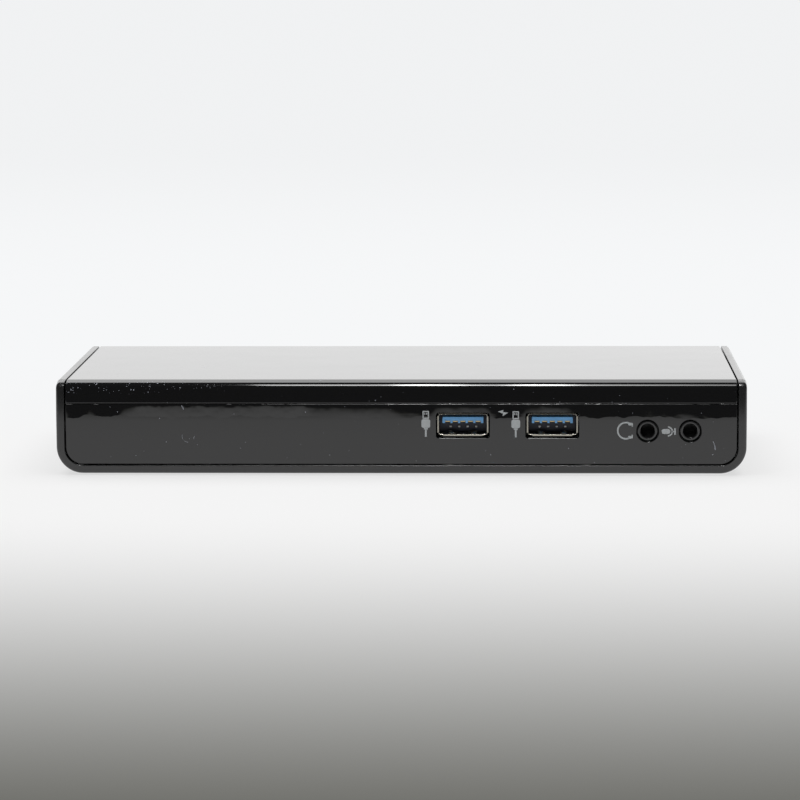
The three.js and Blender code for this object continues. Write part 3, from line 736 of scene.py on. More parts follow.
# %% [markdown]
# Openings are cut with tools that flare out where they meet the surface, so every opening gets a
# moulded, rounded rim at once. The vents are one slot repeated along a line, which is work for
# Geometry Nodes: the tree repeats whatever mesh its object holds, in columns and rows.

# %% Cutting tools, and a tree that repeats a mesh
def flared(name, shape, setting, inside, surface, lip, steps=4):
    """A cutting tool whose rim rounds outwards by lip. shape(grow) is its outline, grown by grow."""
    way = math.copysign(1.0, surface - inside)
    loops = [setting(shape(0.0), inside)]
    loops += [setting(shape(grow), surface - way * down) for grow, down in quarter(lip, steps)]
    loops.append(setting(shape(lip), surface + way * MM))
    return loft(name, loops)


def round_hole(radius, cx, cz, steps=48):
    return lambda grow: circle(radius + grow, cx, cz, steps)


def square_hole(width, height, radius, cx, cz, steps=5):
    return lambda grow: rounded_rect(width + 2 * grow, height + 2 * grow, radius + grow, cx, cz, steps)


def repeat_tree():
    """Geometry Nodes: repeats the incoming mesh in columns, and the columns in rows."""
    tree = bpy.data.node_groups.new("repeat", "GeometryNodeTree")
    face = tree.interface
    face.new_socket("Geometry", in_out="INPUT", socket_type="NodeSocketGeometry")
    for name, kind in (
        ("Columns", "NodeSocketInt"), ("Column step", "NodeSocketVector"),
        ("Rows", "NodeSocketInt"), ("Row step", "NodeSocketVector"), ("Material", "NodeSocketMaterial"),
    ):
        face.new_socket(name, in_out="INPUT", socket_type=kind)
    face.new_socket("Geometry", in_out="OUTPUT", socket_type="NodeSocketGeometry")
    add, link = tree.nodes.new, tree.links.new
    start, end = add("NodeGroupInput"), add("NodeGroupOutput")
    lines = []
    for count, step in (("Columns", "Column step"), ("Rows", "Row step")):
        line = add("GeometryNodeMeshLine")
        link(start.outputs[count], line.inputs["Count"])
        link(start.outputs[step], line.inputs["Offset"])
        lines.append(line.outputs["Mesh"])
    geometry = start.outputs["Geometry"]
    for line in lines:
        place = add("GeometryNodeInstanceOnPoints")
        link(line, place.inputs["Points"])
        link(geometry, place.inputs["Instance"])
        geometry = place.outputs["Instances"]
    real, paint = add("GeometryNodeRealizeInstances"), add("GeometryNodeSetMaterial")
    link(geometry, real.inputs["Geometry"])
    link(real.outputs["Geometry"], paint.inputs["Geometry"])
    link(start.outputs["Material"], paint.inputs["Material"])
    link(paint.outputs["Geometry"], end.inputs["Geometry"])
    return tree


REPEAT = repeat_tree()


def repeated(piece, columns, step, rows=1, row_step=(0, 0, 0), material=None):
    """Repeats a piece with the tree above and reads the result back as a plain mesh."""
    modifier = piece.modifiers.new("repeat", "NODES")
    modifier.node_group = REPEAT
    values = {"Columns": columns, "Column step": step, "Rows": rows, "Row step": row_step}
    if material:
        values["Material"] = material
    for item in REPEAT.interface.items_tree:
        if item.in_out == "INPUT" and item.name in values:
            modifier[item.identifier] = values[item.name]
    piece.update_tag()
    bpy.context.view_layer.update()
    return baked(piece)


vent = flared("vent_tool", square_hole(1.8 * MM, 22 * MM, 0.85 * MM, -62 * MM, 11 * MM), at_z,
              4 * MM, UNDERSIDE, 0.25 * MM)
vents = repeated(vent, 14, (4 * MM, 0, 0))
print("vents:", len(vents.data.polygons), "faces in the tool")

# %% [markdown]
# Every other opening takes its place from the node that goes into it: a pocket for each foot, a deep
# hole for each screw head, a shallow pocket for the label, the button's hole, the lamp's hole and
# the lock slot.

# %% Cut the case
def middle(node):
    low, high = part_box(node)
    return (low + high) / 2


FEET = ["foot_front_left", "foot_front_right", "foot_rear_left", "foot_rear_right"]
SCREWS = ["case_screw_1", "case_screw_2", "case_screw_3", "case_screw_4"]
FOOT_R = 5.5 * MM
HEAD_R = 2.3 * MM
BUTTON_HOLE_R = 4.8 * MM
PIPE_R = 1.4 * MM
PIPE_DOWN = 1.2 * MM
LOCK = (7 * MM, 3 * MM, 0.5 * MM)
LOCK_Z = 12 * MM
PLAY = 0.2 * MM
LABEL_PLAY = 0.8 * MM

label_low, label_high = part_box("rating_label")
label_size = label_high - label_low
label_mid = middle("rating_label")
button_mid = middle("power_button")


def holes_below(nodes, radius, depth, lip, steps=48):
    """Round cutting tools under some nodes, up to the height given."""
    return [
        flared("hole", round_hole(radius + PLAY, *middle(node)[:2], steps), at_z, depth, UNDERSIDE, lip)
        for node in nodes
    ]


def hole_in_end(name, shape, side, lip):
    """A cutting tool through an end wall: side is 1 for the right one and -1 for the left one."""
    return flared(name, shape, at_x, side * (HALF - WALL - MM), side * HALF, lip)


label_shape = square_hole(
    label_size.x + LABEL_PLAY, label_size.y + LABEL_PLAY, 1.2 * MM, label_mid.x, label_mid.y)
pipe_shape = round_hole(PIPE_R, middle("light_pipe").y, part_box("light_pipe")[1].z - PIPE_DOWN, 32)
cut(
    case, vents,
    *holes_below(FEET, FOOT_R, 1.45 * MM, 0.3 * MM),
    *holes_below(SCREWS, HEAD_R, 4 * MM, 0.2 * MM, 32),
    flared("label_pocket", label_shape, at_z, UNDERSIDE + 0.3 * MM, UNDERSIDE, 0.12 * MM),
    hole_in_end("button_hole", round_hole(BUTTON_HOLE_R, button_mid.y, button_mid.z, 64), 1, 0.35 * MM),
    hole_in_end("lamp_hole", pipe_shape, 1, 0.15 * MM),
    hole_in_end("lock_hole", square_hole(*LOCK, middle("lock_slot_plate").y, LOCK_Z), -1, 0.3 * MM),
)
dress(smooth(case), satin_black, "case_black", "bottom_case")

# %% [markdown]
# ## The cover
# The cover is the glossy lid. Its front rolls over into a visor above the panel. It is bent along
# the same line as the end walls, from the visor's lower edge over the nose and the bevel, and down
# the back. Its first and last stations are mitred, so that all four edges are rounded.

# %% Bend the cover
COVER_HALF = panel_high.x
COVER_T = 1.6 * MM
PANEL_TOP = panel_high.z
SEAM = 0.1 * MM
CREASE_R = 0.8 * MM


def cover_line():
    """The stations from the visor's edge over the nose and the bevel to the back."""
    crease_y = top_front + CREASE_R * math.tan(math.radians(BEVEL / 2))
    return (
        lean_line(5, PANEL_TOP + SEAM, LEAN_TOP)[:-1]
        + nose_line(18)[::-1]
        + turn(crease_y, TOP - CREASE_R, CREASE_R, 90 - BEVEL, 90, 4)
        + rear_turn(8)
    )


def across(line, half):
    """Turns a line of stations into the two end edges of a bent plate, mitred at its ends."""
    edges = []
    for side in (-1, 1):
        edge = []
        for i, (y, z, my, mz) in enumerate(line):
            along = 0.0 if 0 < i < len(line) - 1 else (1.0 if i == 0 else -1.0)
            inward = (-side, -mz * along, my * along)
            edge.append(((side * half, y, z), (0, -my, -mz), inward))
        edges.append(edge)
    return edges


cover = plate("cover_shell", *across(cover_line(), COVER_HALF), COVER_T, 0.25 * MM, 0.15 * MM, 4)
dress(smooth(cover), gloss_black, "cover_black", "top_cover")

# %% [markdown]
# ## The front panel and the rear panel
# Both are flat plates set into the case, with round lower corners. The front one follows the lean of
# the end walls. Rows of stations run up the two sides, round corners included, so the bottom and top
# edges come out rounded as well. Both are then cut by the same flared tools.

# %% Mould the front panel
PANEL_BACK = 2 * MM
CORNER_IN = CORNER_R - WALL - 0.4 * MM
FACE_IN = 0.03 * MM
JACK_UP = 2.4 * MM
USB_MOUTH_HIGH = 6.5 * MM
USB_NODES = ["usb_front_left_shell", "usb_front_right_shell"]
JACK_NODES = ["headphone_jack", "microphone_jack"]
usb_places = [(middle(n).x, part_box(n)[1].z - USB_MOUTH_HIGH / 2) for n in USB_NODES]
jack_places = [(middle(n).x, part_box(n)[0].z + JACK_UP) for n in JACK_NODES]
USB_HOLE = (14.1 * MM, 6.75 * MM, 0.8 * MM)
USB_HOLE_DROP = 0.22 * MM
JACK_HOLE_R = 2.95 * MM


def panel_edge(half, bottom, top, radius, rows):
    """The stations of a panel's right edge, from the middle of its bottom up."""
    cx, cz = half - radius, bottom + radius
    corner = arc(cx, cz, radius, -90, 0, 14)
    edge = [((x, z), ((cx - x) / radius, (cz - z) / radius)) for x, z in corner]
    low = max(LEAN_FROM, cz + MM)
    edge += [((half, low + (top - low) * i / rows), (-1.0, 0.0)) for i in range(1, rows + 1)]
    edge[-1] = (edge[-1][0], (-1.0, -1.0))
    return edge


def panel(name, edge, skin_y, tilt, facing, thickness, round_out):
    """A panel between an edge and its mirror image. facing is -1 for the front and 1 for the back."""
    edges = []
    for side in (-1, 1):
        stations = []
        for (x, z), (mx, mz) in edge:
            a = tilt(z)
            normal = (0, facing * math.cos(a), math.sin(a))
            stations.append(((side * x, skin_y(z), z), normal, (side * mx, 0, mz)))
        edges.append(stations)
    return plate(name, *edges, thickness, round_out, 0.1 * MM, 4)


front = panel(
    "front_panel_skin", panel_edge(COVER_HALF, panel_low.z, PANEL_TOP, CORNER_IN, 8),
    lambda z: face_y(z) + FACE_IN, lean_angle, -1, PANEL_BACK, 0.2 * MM,
)
openings = [(square_hole(*USB_HOLE, x, z - USB_HOLE_DROP), 0.15 * MM) for x, z in usb_places]
openings += [(round_hole(JACK_HOLE_R, x, z, 64), 0.2 * MM) for x, z in jack_places]
cut(front, *[
    flared("opening", shape, at_y, FRONT + 4 * MM, FRONT + FACE_IN, lip) for shape, lip in openings
])
print("front panel:", len(front.data.polygons), "faces after cutting")

# %% [markdown]
# A thin gloss panel is never quite flat. It sinks slightly at the stops and hooks behind its upper
# edge, and stands straighter around its openings. That can't be seen on the panel, but it can in
# what the panel reflects: the edge of the table's reflection runs in dips and bulges. So the panel's
# relief is a sum of such pulls, each at its own place along the bar and with its own tilt.

# %% Give the panel its waviness
PULL_FROM = 15.6 * MM
# Each pull is (place, reach, tilt), in millimetres but for the tilt.
PULLS = [
    (-85.4, 3.6, 0.046), (-77.4, 4.8, 0.050), (4.0, 9.0, 0.026), (28.3, 7.5, 0.042),
    (51.0, 9.5, 0.046), (60.0, 8.0, 0.038), (70.5, 7.0, 0.034), (80.0, 7.0, 0.034), (86.0, 5.0, 0.040),
]
STRAIGHT = [(x / MM, 9.4, 0.020) for x, _ in usb_places] + [(-48, 27, 0.036), (-12, 20, 0.012)]


def panel_waves(tree):
    x, _, z = tree.axes()
    tilt = (tree.noise(150.0, 2.0, 0.55) - 0.5) * 0.016

    def pull(place, reach, core):
        return tree.between((x - place * MM).size(), reach * MM, reach * core * MM)

    for place, reach, amount in PULLS:
        tilt = tilt + pull(place, reach, 0.15) * amount
    for place, reach, amount in STRAIGHT:
        tilt = tilt - pull(place, reach, 0.7) * amount
    edge = (tree.noise(170.0, 2.0, 0.6) - 0.5) * (3.0 * MM)
    rise = (z - PULL_FROM - edge).at_least(0.0)
    return 0.0 - tilt * rise


panel_gloss = finish("panel_gloss", gloss_recipe(panel_waves))
dress(smooth(front), panel_gloss, "cover_black", "front_panel")

# %% [markdown]
# The rear panel has more kinds of opening. Two of them are D-shaped, for the video sockets. Their
# corners are rounded about fixed centres, so the same outline can be grown for the flared rim.

# %% Mould the rear panel
def rounded_polygon(corners, radius, grow=0.0, steps=4):
    """A convex outline, its corners given counter-clockwise, rounded by radius and then grown."""
    points = []
    count = len(corners)
    for i in range(count):
        before, here, after = (Vector(corners[(i + k) % count]) for k in (-1, 0, 1))
        one, two = (here - before).normalized(), (after - here).normalized()
        out_one, out_two = Vector((one.y, -one.x)), Vector((two.y, -two.x))
        centre = here - (out_one + out_two) * (radius / (1 + out_one.dot(out_two)))
        start = math.degrees(math.atan2(out_one.y, out_one.x))
        sweep = math.degrees(out_one.angle(out_two))
        points += arc(centre.x, centre.y, radius + grow, start, start + sweep, steps)
    return points


def d_hole(width, height, run, rise, radius, cx, cz):
    """A D outline: a rectangle whose lower corners are cut off and whose corners are rounded."""
    x, z = width / 2, height / 2
    corners = [(-x + run, -z), (x - run, -z), (x, -z + rise), (x, z), (-x, z), (-x, -z + rise)]
    placed = [(cx + px, cz + pz) for px, pz in corners]
    return lambda grow: rounded_polygon(placed, radius, grow)


rear_low, rear_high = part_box("rear_panel")
REAR_FACE = rear_high.y
BOARD_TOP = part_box("main_board")[1].z
NUT_X = 16.66 * MM
SMALL_D = (16 * MM, 6.6 * MM, 1.6 * MM, 1.6 * MM, 0.4 * MM)
WIDE_D = (27.2 * MM, 10.4 * MM, 1.8 * MM, 3.6 * MM, 0.8 * MM)
wide_mid = middle("video_wide_shell")
wide_z = BOARD_TOP + 7.2 * MM

# Square openings: the node behind each, its width, its height and its middle over the board, in mm.
SQUARES = [
    ("dc_inlet", 9.5, 11.5, 5.5), ("usb_b_shell", 12.7, 13.4, 6.45), ("network_jack", 16.6, 13.9, 6.75),
    ("usb_stack_a_shell", 13.7, 16, 7.8), ("usb_stack_b_shell", 13.7, 16, 7.8),
]
rear_shapes = [
    square_hole(wide * MM, high * MM, 0.5 * MM, middle(node).x, BOARD_TOP + up * MM)
    for node, wide, high, up in SQUARES
]
rear_shapes += [
    d_hole(*SMALL_D, middle("video_small_shell").x, BOARD_TOP + 3.2 * MM),
    d_hole(*WIDE_D, wide_mid.x, wide_z),
    *[round_hole(3.2 * MM, wide_mid.x + side * NUT_X, wide_z) for side in (-1, 1)],
]

rear = panel(
    "rear_panel_skin", panel_edge(COVER_HALF, rear_low.z, rear_high.z, CORNER_IN, 4),
    lambda z: REAR_FACE, lambda z: 0.0, 1, 1.8 * MM, 0.25 * MM,
)
cut(rear, *[
    flared("rear_hole", shape, at_y, REAR_FACE - 3 * MM, REAR_FACE, 0.15 * MM) for shape in rear_shapes
])

dress(smooth(rear), satin_black, "case_black", "rear_panel")

# %% [markdown]
# ## The marks on the panel
# Beside each opening a small mark is printed in pale ink: a plain plug for USB, a bolt for the socket
# that charges, headphones and a microphone. Each mark is drawn upright in millimetres, then set on the
# panel, where it is a film a few hundredths of a millimetre thick that follows the lean.

# %% Print the marks
INK_PROUD = 0.02 * MM


def printed(name, marks):
    """Films on the front panel. marks is a list of (outline, hole), in metres; hole may be None."""
    def on_face(outline, depth):
        return [(x, face_y(z) + FACE_IN + depth, z) for x, z in outline]

    def build(bm):
        for outline, hole in marks:
            if hole:
                rings = [on_face(outline, -INK_PROUD), on_face(hole, -INK_PROUD)]
                rings += [on_face(hole, INK_PROUD), on_face(outline, INK_PROUD)]
                add_loft(bm, rings, True)
            else:
                add_loft(bm, [on_face(outline, -INK_PROUD), on_face(outline, INK_PROUD)])

    return dress(solid(name, build), ink, "label_silver")


def at_place(points, x, z):
    """Moves points drawn in millimetres to a place on the panel."""
    return [(x + px * MM, z + pz * MM) for px, pz in points]


def band(radius, width, start, stop, steps=24):
    """A curved stroke of constant width, centred on the origin."""
    outer, inner = radius + width / 2, radius - width / 2
    return arc(0, 0, outer, start, stop, steps) + arc(0, 0, inner, stop, start, steps)


def bar(x, z, width, height, radius=0.12):
    return rounded_rect(width, height, radius, x, z, 3)


def plug_mark(x, z):
    """A plug seen from the side, with its lead below it."""
    shapes = [
        (bar(0, -2.75, 0.5, 1.9), None),
        (bar(0, -1.55, 1.1, 0.4, 0.18), None),
        (bar(0, -0.15, 2.3, 2.3, 0.5), None),
        (bar(0, 2.15, 1.7, 2.1, 0.15), bar(0, 2.15, 1.1, 1.5, 0.05)),
        (bar(-0.27, 2.45, 0.26, 0.5, 0.05), None),
        (bar(0.27, 2.45, 0.26, 0.5, 0.05), None),
    ]
    return [(at_place(out, x, z), at_place(hole, x, z) if hole else None) for out, hole in shapes]


def bolt_mark(x, z):
    zigzag = [(-1.35, 0.35), (0.1, 0.8), (0.0, 0.2), (1.35, 0.1), (-0.1, -0.85), (0.0, -0.2)]
    return [(at_place(zigzag, x, z), None)]


def headphones_mark(x, z):
    """Headphones turned on their side: the band opens to the right, with a cushion at each end."""
    shapes = [band(2.15, 0.42, 66, 294)]
    for side in (-1, 1):
        shapes.append(bar(1.05, side * 1.75, 0.95, 0.7, 0.25))
        shapes.append(bar(1.66, side * 1.55, 0.3, 1.0, 0.12))
    return [(at_place(shape, x, z), None) for shape in shapes]


def microphone_mark(x, z):
    """A microphone turned on its side: capsule on the left, cradle, stem and foot on the right."""
    shapes = [
        bar(-0.75, 0, 2.3, 1.3, 0.62),
        [(px - 0.3, pz) for px, pz in band(1.2, 0.35, -88, 88, 16)],
        bar(1.18, 0, 0.5, 0.35, 0.05),
        bar(1.6, 0, 0.4, 1.8, 0.08),
    ]
    return [(at_place(shape, x, z), None) for shape in shapes]


(usb_one, usb_z), (usb_two, _) = usb_places
jack_x, jack_z = jack_places[0]
mark_z = usb_z + 0.45 * MM
printed("mark_usb_left", plug_mark(usb_one - 9.75 * MM, mark_z))
printed("mark_usb_right", plug_mark(usb_two - 9.60 * MM, mark_z - 0.1 * MM))
printed("mark_charge", bolt_mark(usb_two - 12.95 * MM, mark_z + 2.65 * MM))
printed("mark_headphones", headphones_mark(jack_x - 5.7 * MM, jack_z + 0.05 * MM))
printed("mark_microphone", microphone_mark(jack_x + 5.55 * MM, jack_z - 0.15 * MM))

# %% [markdown]
# ## The front USB sockets
# Each socket is a pressed steel tube with its mouth folded out into four narrow tabs, a blue tongue
# with five gold contacts under its front edge, a back of the same blue nylon coloured dark as painted
# shade, with four more contacts, and two springs pressed out of its floor. The tube is one closed loft.
# The tabs are swept from one small section, turned four ways. The contacts are one contact, repeated.

# %% Press the shells
TUBE = (12.5 * MM, 5.12 * MM)
# The tube's rim from its inside to its outside: (grown by, depth, corner radius), in millimetres.
RIM = [(0.0, 0.75, 0.4), (0.05, 0.63, 0.4), (0.15, 0.58, 0.5), (0.25, 0.63, 0.55), (0.3, 0.75, 0.6)]
# A folded tab, as (out, depth): it comes out of the tube and turns outwards, its face leaning back.
TAB = [
    (-0.01, 0.80), (-0.01, 0.20), (0.02, 0.08), (0.08, 0.01), (0.15, 0.02), (0.44, 0.10),
    (0.44, 0.32), (0.36, 0.38), (0.27, 0.46), (0.25, 0.80),
]
# Where each tab begins and ends along its side of the mouth.
TABS = [
    ("low", -5.25, -0.06), ("low", 0.06, 5.25), ("high", -5.4, 5.4), ("left", -2.15, 2.2),
    ("right", -2.15, 2.2),
]


def tube_loops(x, z, mouth, back):
    """A tube of sheet metal around (x, z) with a rounded mouth."""
    deep = back / MM
    loops = []
    for grow, depth, radius in [(0.0, deep, 0.4), *RIM, (0.3, deep, 0.6)]:
        width, height = (side + 2 * grow * MM for side in TUBE)
        loops.append(at_y(rounded_rect(width, height, radius * MM, x, z), mouth + depth * MM))
    return loops


def add_tab(bm, x, z, mouth, side, start, stop):
    """Sweeps the section from start to stop along one side of the mouth."""
    sign = -1 if side in ("low", "left") else 1

    def point(along, out, depth):
        y = mouth + depth * MM
        if side in ("low", "high"):
            return (x + along * MM, y, z + sign * (TUBE[1] / 2 + out * MM))
        return (x + sign * (TUBE[0] / 2 + out * MM), y, z + along * MM)

    add_loft(bm, [[point(along, out, depth) for out, depth in TAB] for along in (start, stop)])


def usb_shell(name, x, z, node):
    low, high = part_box(node)

    def build(bm):
        add_loft(bm, tube_loops(x, z, low.y, high.y - low.y - 0.05 * MM), True)
        for side, start, stop in TABS:
            add_tab(bm, x, z, low.y, side, start, stop)

    return dress(smooth(solid(name, build), 50), tinned_steel, "socket_steel", node)


for side, (x, z), node in zip(("left", "right"), usb_places, USB_NODES):
    usb_shell(f"usb_{side}_shell", x, z, node)

# %% [markdown]
# The tongue is a block with a notch under each contact. Its front edge is seen from a hand's width
# away, so the notches are real: five notch tools are repeated along it and cut out. Behind it a
# back, coloured darker than the tongue as painted shade, closes the tube.

# %% Mould the tongues
def add_block(bm, low, high, soft):
    """A block with softened edges."""
    made = bmesh.ops.create_cube(bm, size=1.0)["verts"]
    for vert in made:
        for axis in range(3):
            vert.co[axis] = low[axis] if vert.co[axis] < 0 else high[axis]
    edges = list({edge for vert in made for edge in vert.link_edges})
    bmesh.ops.bevel(bm, geom=edges, offset=soft, segments=2, profile=0.5, affect="EDGES")


def block(name, low, high, soft):
    return solid(name, lambda bm: add_block(bm, low, high, soft))


def block_at(name, origin, across, along, up, soft):
    """A block by its reach from an origin: (from, to) in x, in y and in z. Reach and soft are in mm."""
    low, high = ([o + reach[k] * MM for o, reach in zip(origin, (across, along, up))] for k in (0, 1))
    return block(name, low, high, soft * MM)


CONTACT_PITCH = 2.0
CONTACT_HALF = 0.625
NOTCH_HALF = 0.72
TONGUE_HALF = 5.4
TONGUE_FROM = 1.0
TONGUE_TO = 4.3


def usb_tongue(side, x, z):
    """The tongue with its notches and its contacts. z is the middle of the mouth."""
    name, origin = f"usb_{side}_tongue", (x, FRONT, z)
    first = -2 * CONTACT_PITCH
    step = (CONTACT_PITCH * MM, 0, 0)
    tongue = block_at(
        name, origin, (-TONGUE_HALF, TONGUE_HALF), (TONGUE_FROM, TONGUE_TO), (0.25, 1.9), 0.12)
    notch = block_at("notch", origin, (first - NOTCH_HALF, first + NOTCH_HALF), (0, 5), (-1, 0.92), 0.1)
    cut(tongue, repeated(notch, 5, step))
    dress(smooth(tongue), blue_nylon, "socket_blue", f"usb_front_{side}_insert")
    contact = block_at(
        name + "_contacts", origin, (first - CONTACT_HALF, first + CONTACT_HALF),
        (TONGUE_FROM - 0.03, TONGUE_TO), (0.62, 0.93), 0.07)
    dress(smooth(repeated(contact, 5, step)), gold_plate, "socket_steel")


for side, (x, z) in zip(("left", "right"), usb_places):
    usb_tongue(side, x, z)

# %% [markdown]
# The back of each socket is a block that fills the tube. It is the tongue's blue nylon, coloured a
# near black navy as painted shade for the shadow deep in the tube. Four more contacts show faintly on
# it, and two leaf springs rise from the floor of the tube to grip the plug.

# %% Fill the sockets
BACK_IN = (TUBE[0] / 2 / MM - 0.03, TUBE[1] / 2 / MM - 0.03)
SPRINGS = [(-2.83, 0.85), (2.9, 0.75)]  # each one's place and half width
SPRING_RISE = [
    (0.9, 0.0, 0.15), (1.2, 0.05, 0.32), (2.2, 0.32, 0.6), (3.0, 0.22, 0.5), (4.1, 0.0, 0.16),
]


def add_leaf(bm, origin, x, half, stations):
    """A leaf spring from an origin: stations are (y, low z, high z) along it, in millimetres."""
    loops = []
    for y, low, high in stations:
        corners = ((x - half, low), (x + half, low), (x + half, high), (x - half, high))
        loops.append([[o + d * MM for o, d in zip(origin, (px, y, pz))] for px, pz in corners])
    add_loft(bm, loops)


def usb_inside(side, x, z):
    origin, name = (x, FRONT, z), f"usb_{side}_"
    wide, high = BACK_IN
    back = block_at(name + "back", origin, (-wide, wide), (4.25, 12.5), (-high, high), 0.15)
    dress(smooth(back), blue_nylon_painted_shade, "socket_blue")
    contact = block_at(name + "back_contacts", origin, (-3.6, -3.0), (4.05, 4.4), (-1.35, -0.85), 0.08)
    dress(smooth(repeated(contact, 4, (2.25 * MM, 0, 0))), zinc_plate, "socket_steel")

    def springs(bm):
        for px, half in SPRINGS:
            add_leaf(bm, (x, FRONT, z - TUBE[1] / 2), px, half, SPRING_RISE)

    dress(smooth(solid(name + "springs", springs)), tinned_steel, "socket_steel")


# Painted shade: the tongue's blue nylon, darkened to a near black navy for the shadow deep in the tube.
blue_nylon_painted_shade = finish("blue_nylon_painted_shade", nylon_recipe((0.010, 0.012, 0.036, 1.0)))
for side, (x, z) in zip(("left", "right"), usb_places):
    usb_inside(side, x, z)

# %% [markdown]
# ## The audio jacks
# A jack is a turned barrel with a softly rounded rim, in front of a square body that stands on the
# front board. A lathe profile gives the barrel, and the bore goes on through the body.

# %% Turn the jacks
def turned(name, profile, setting, u, v, start, way, steps=48):
    """A solid from a lathe. profile is a list of (radius, depth) in millimetres, from end to end."""
    return loft(name, [
        setting(circle(radius * MM, u, v, steps), start + way * depth * MM) for radius, depth in profile
    ])


JACK_PROFILE = [
    (2.2, 13.4), (2.2, 2.1), (2.6, 2.0), (2.6, 0.16), (2.57, 0.06), (2.48, 0.0), (2.08, 0.0),
    (1.95, 0.04), (1.88, 0.12), (1.85, 0.26), (1.85, 12.0),
]
BORE_PROFILE = [(2.15, 0.0), (2.15, 13.0)]
JACK_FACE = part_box("headphone_jack")[0].y
FRONT_BOARD_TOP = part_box("front_board")[1].z

for node, (x, z) in zip(JACK_NODES, jack_places):
    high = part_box(node)[1]
    body = block(
        node + "_body", (x - 3 * MM, JACK_FACE + 2.3 * MM, FRONT_BOARD_TOP + 0.05 * MM),
        (x + 3 * MM, high.y, high.z), 0.2 * MM)
    cut(body, turned("bore", BORE_PROFILE, at_y, x, z, JACK_FACE + MM, 1))
    dress(smooth(body), black_nylon, "socket_black")
    barrel = turned(node + "_barrel", JACK_PROFILE, at_y, x, z, JACK_FACE, 1, 64)
    dress(smooth(barrel), satin_black, "socket_black", node)

# %% [markdown]
# ## Underneath
# Four rubber feet sit in their pockets, each with a moulded ring that grips the table. Four pan head
# screws with a cross recess hold the cover. One foot and one screw are made, and Geometry Nodes
# repeats them in two columns and two rows. The label is blank, with only a printed frame.

# %% Feet and screws
FOOT_PROFILE = [
    (3.1, 0.0), (3.2, 0.03), (3.3, 0.14), (3.7, 0.14), (3.8, 0.03), (3.9, 0.0), (4.9, 0.0), (5.2, 0.06),
    (5.4, 0.2), (5.5, 0.45), (5.5, 1.3),
]
SCREW_PROFILE = [
    (1.5, 0.0), (1.9, 0.06), (2.15, 0.2), (2.27, 0.45), (2.3, 0.8), (2.3, 1.6), (2.25, 1.7),
    (1.15, 1.7), (1.15, 15.0), (0.5, 16.0),
]


def grid_steps(nodes):
    """The column and row steps between four nodes: front left, front right, rear left, rear right."""
    first, second, third = (middle(node) for node in nodes[:3])
    return (second.x - first.x, 0, 0), (0, third.y - first.y, 0)


foot_at = middle(FEET[0])
foot = turned("feet", FOOT_PROFILE, at_z, foot_at.x, foot_at.y, 0.0, 1, 56)
column, row = grid_steps(FEET)
dress(repeated(smooth(foot, 50), 2, column, 2, row), rubber, "foot_rubber", *FEET)

screw_at = middle(SCREWS[0])
screw_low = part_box(SCREWS[0])[0].z
screw = turned("case_screws", SCREW_PROFILE, at_z, screw_at.x, screw_at.y, screw_low, 1, 40)
slots = [
    block_at("slot", (screw_at.x, screw_at.y, screw_low), (-wide, wide), (-deep, deep), (-1, 0.95), 0.1)
    for wide, deep in ((0.28, 1.3), (1.3, 0.28))
]
cut(screw, *slots)
column, row = grid_steps(SCREWS)
dress(repeated(smooth(screw), 2, column, 2, row), black_zinc, "screw_steel", *SCREWS)

# %% Label
LABEL_FRAME = (1.5 * MM, 0.35 * MM)


def label_recipe(tree):
    """Brushed silver film with a thin printed frame and one rule across it."""
    x, y, _ = tree.axes()
    from_end = (x - label_mid.x).size() * -1.0 + label_size.x / 2
    from_side = (y - label_mid.y).size() * -1.0 + label_size.y / 2
    edge = from_end.at_most(from_side)
    inset, wide = LABEL_FRAME
    line = (edge > inset) * (edge < inset + wide)
    rule = ((y - label_mid.y - label_size.y / 6).size() < wide / 2) * (edge > inset)
    grain = tree.noise(1.0, 3.0, 0.6, tree.stretched((120.0, 4200.0, 100.0)))
    return {
        "Base Color": tree.mix((line + rule).at_most(1.0), shade(0.52), shade(0.03)),
        "Metallic": 0.55,
        "Roughness": 0.34 + grain * 0.14,
    }


label = loft("label_film", [
    at_z(rounded_rect(label_size.x, label_size.y, MM, label_mid.x, label_mid.y), z)
    for z in (label_low.z, label_high.z)
])
dress(label, finish("label_film", label_recipe), "label_silver", "rating_label")

# %% [markdown]
# ## The power button
# The button is turned too: a shallow dish that a fingertip finds, a rounded rim, a collar that stops it
# inside the wall and a stem that pushes the switch. A plain standby sign is printed in the dish. Both
# ride on the button's body, so they move together when it is pressed.

# %% Turn the button
BUTTON_PROFILE = [
    (2.2, 0.30), (3.0, 0.25), (3.7, 0.10), (4.05, 0.02), (4.25, 0.0), (4.4, 0.04), (4.48, 0.14),
    (4.5, 0.3), (4.5, 2.5), (5.4, 2.5), (5.4, 3.8), (1.6, 3.8), (1.6, 9.4),
]
button_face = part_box("power_button")[1].x
button = turned("button_cap", BUTTON_PROFILE, at_x, button_mid.y, button_mid.z, button_face, -1, 72)
dress(smooth(button, 40), satin_black, "case_black", "power_button", body=BUTTON)


def standby(bm):
    for outline in (band(1.25, 0.32, 125, 415, 32), bar(0, 1.2, 0.32, 1.5)):
        placed = at_place(outline, button_mid.y, button_mid.z)
        add_loft(bm, [at_x(placed, button_face - depth * MM) for depth in (0.34, 0.27)])


dress(solid("button_sign", standby), ink, "label_silver", body=BUTTON)

# %% [markdown]
# ## The rear sockets
# The rear sockets' engineering shapes are right, but their edges are sharp. So each is copied, its flat
# faces are merged again and every sharp edge is rounded a little, which is what makes folded sheet and
# moulded plastic catch the light. The contacts inside are one contact each, repeated.

# %% Soften and fill
REAR_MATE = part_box("dc_inlet")[1].y


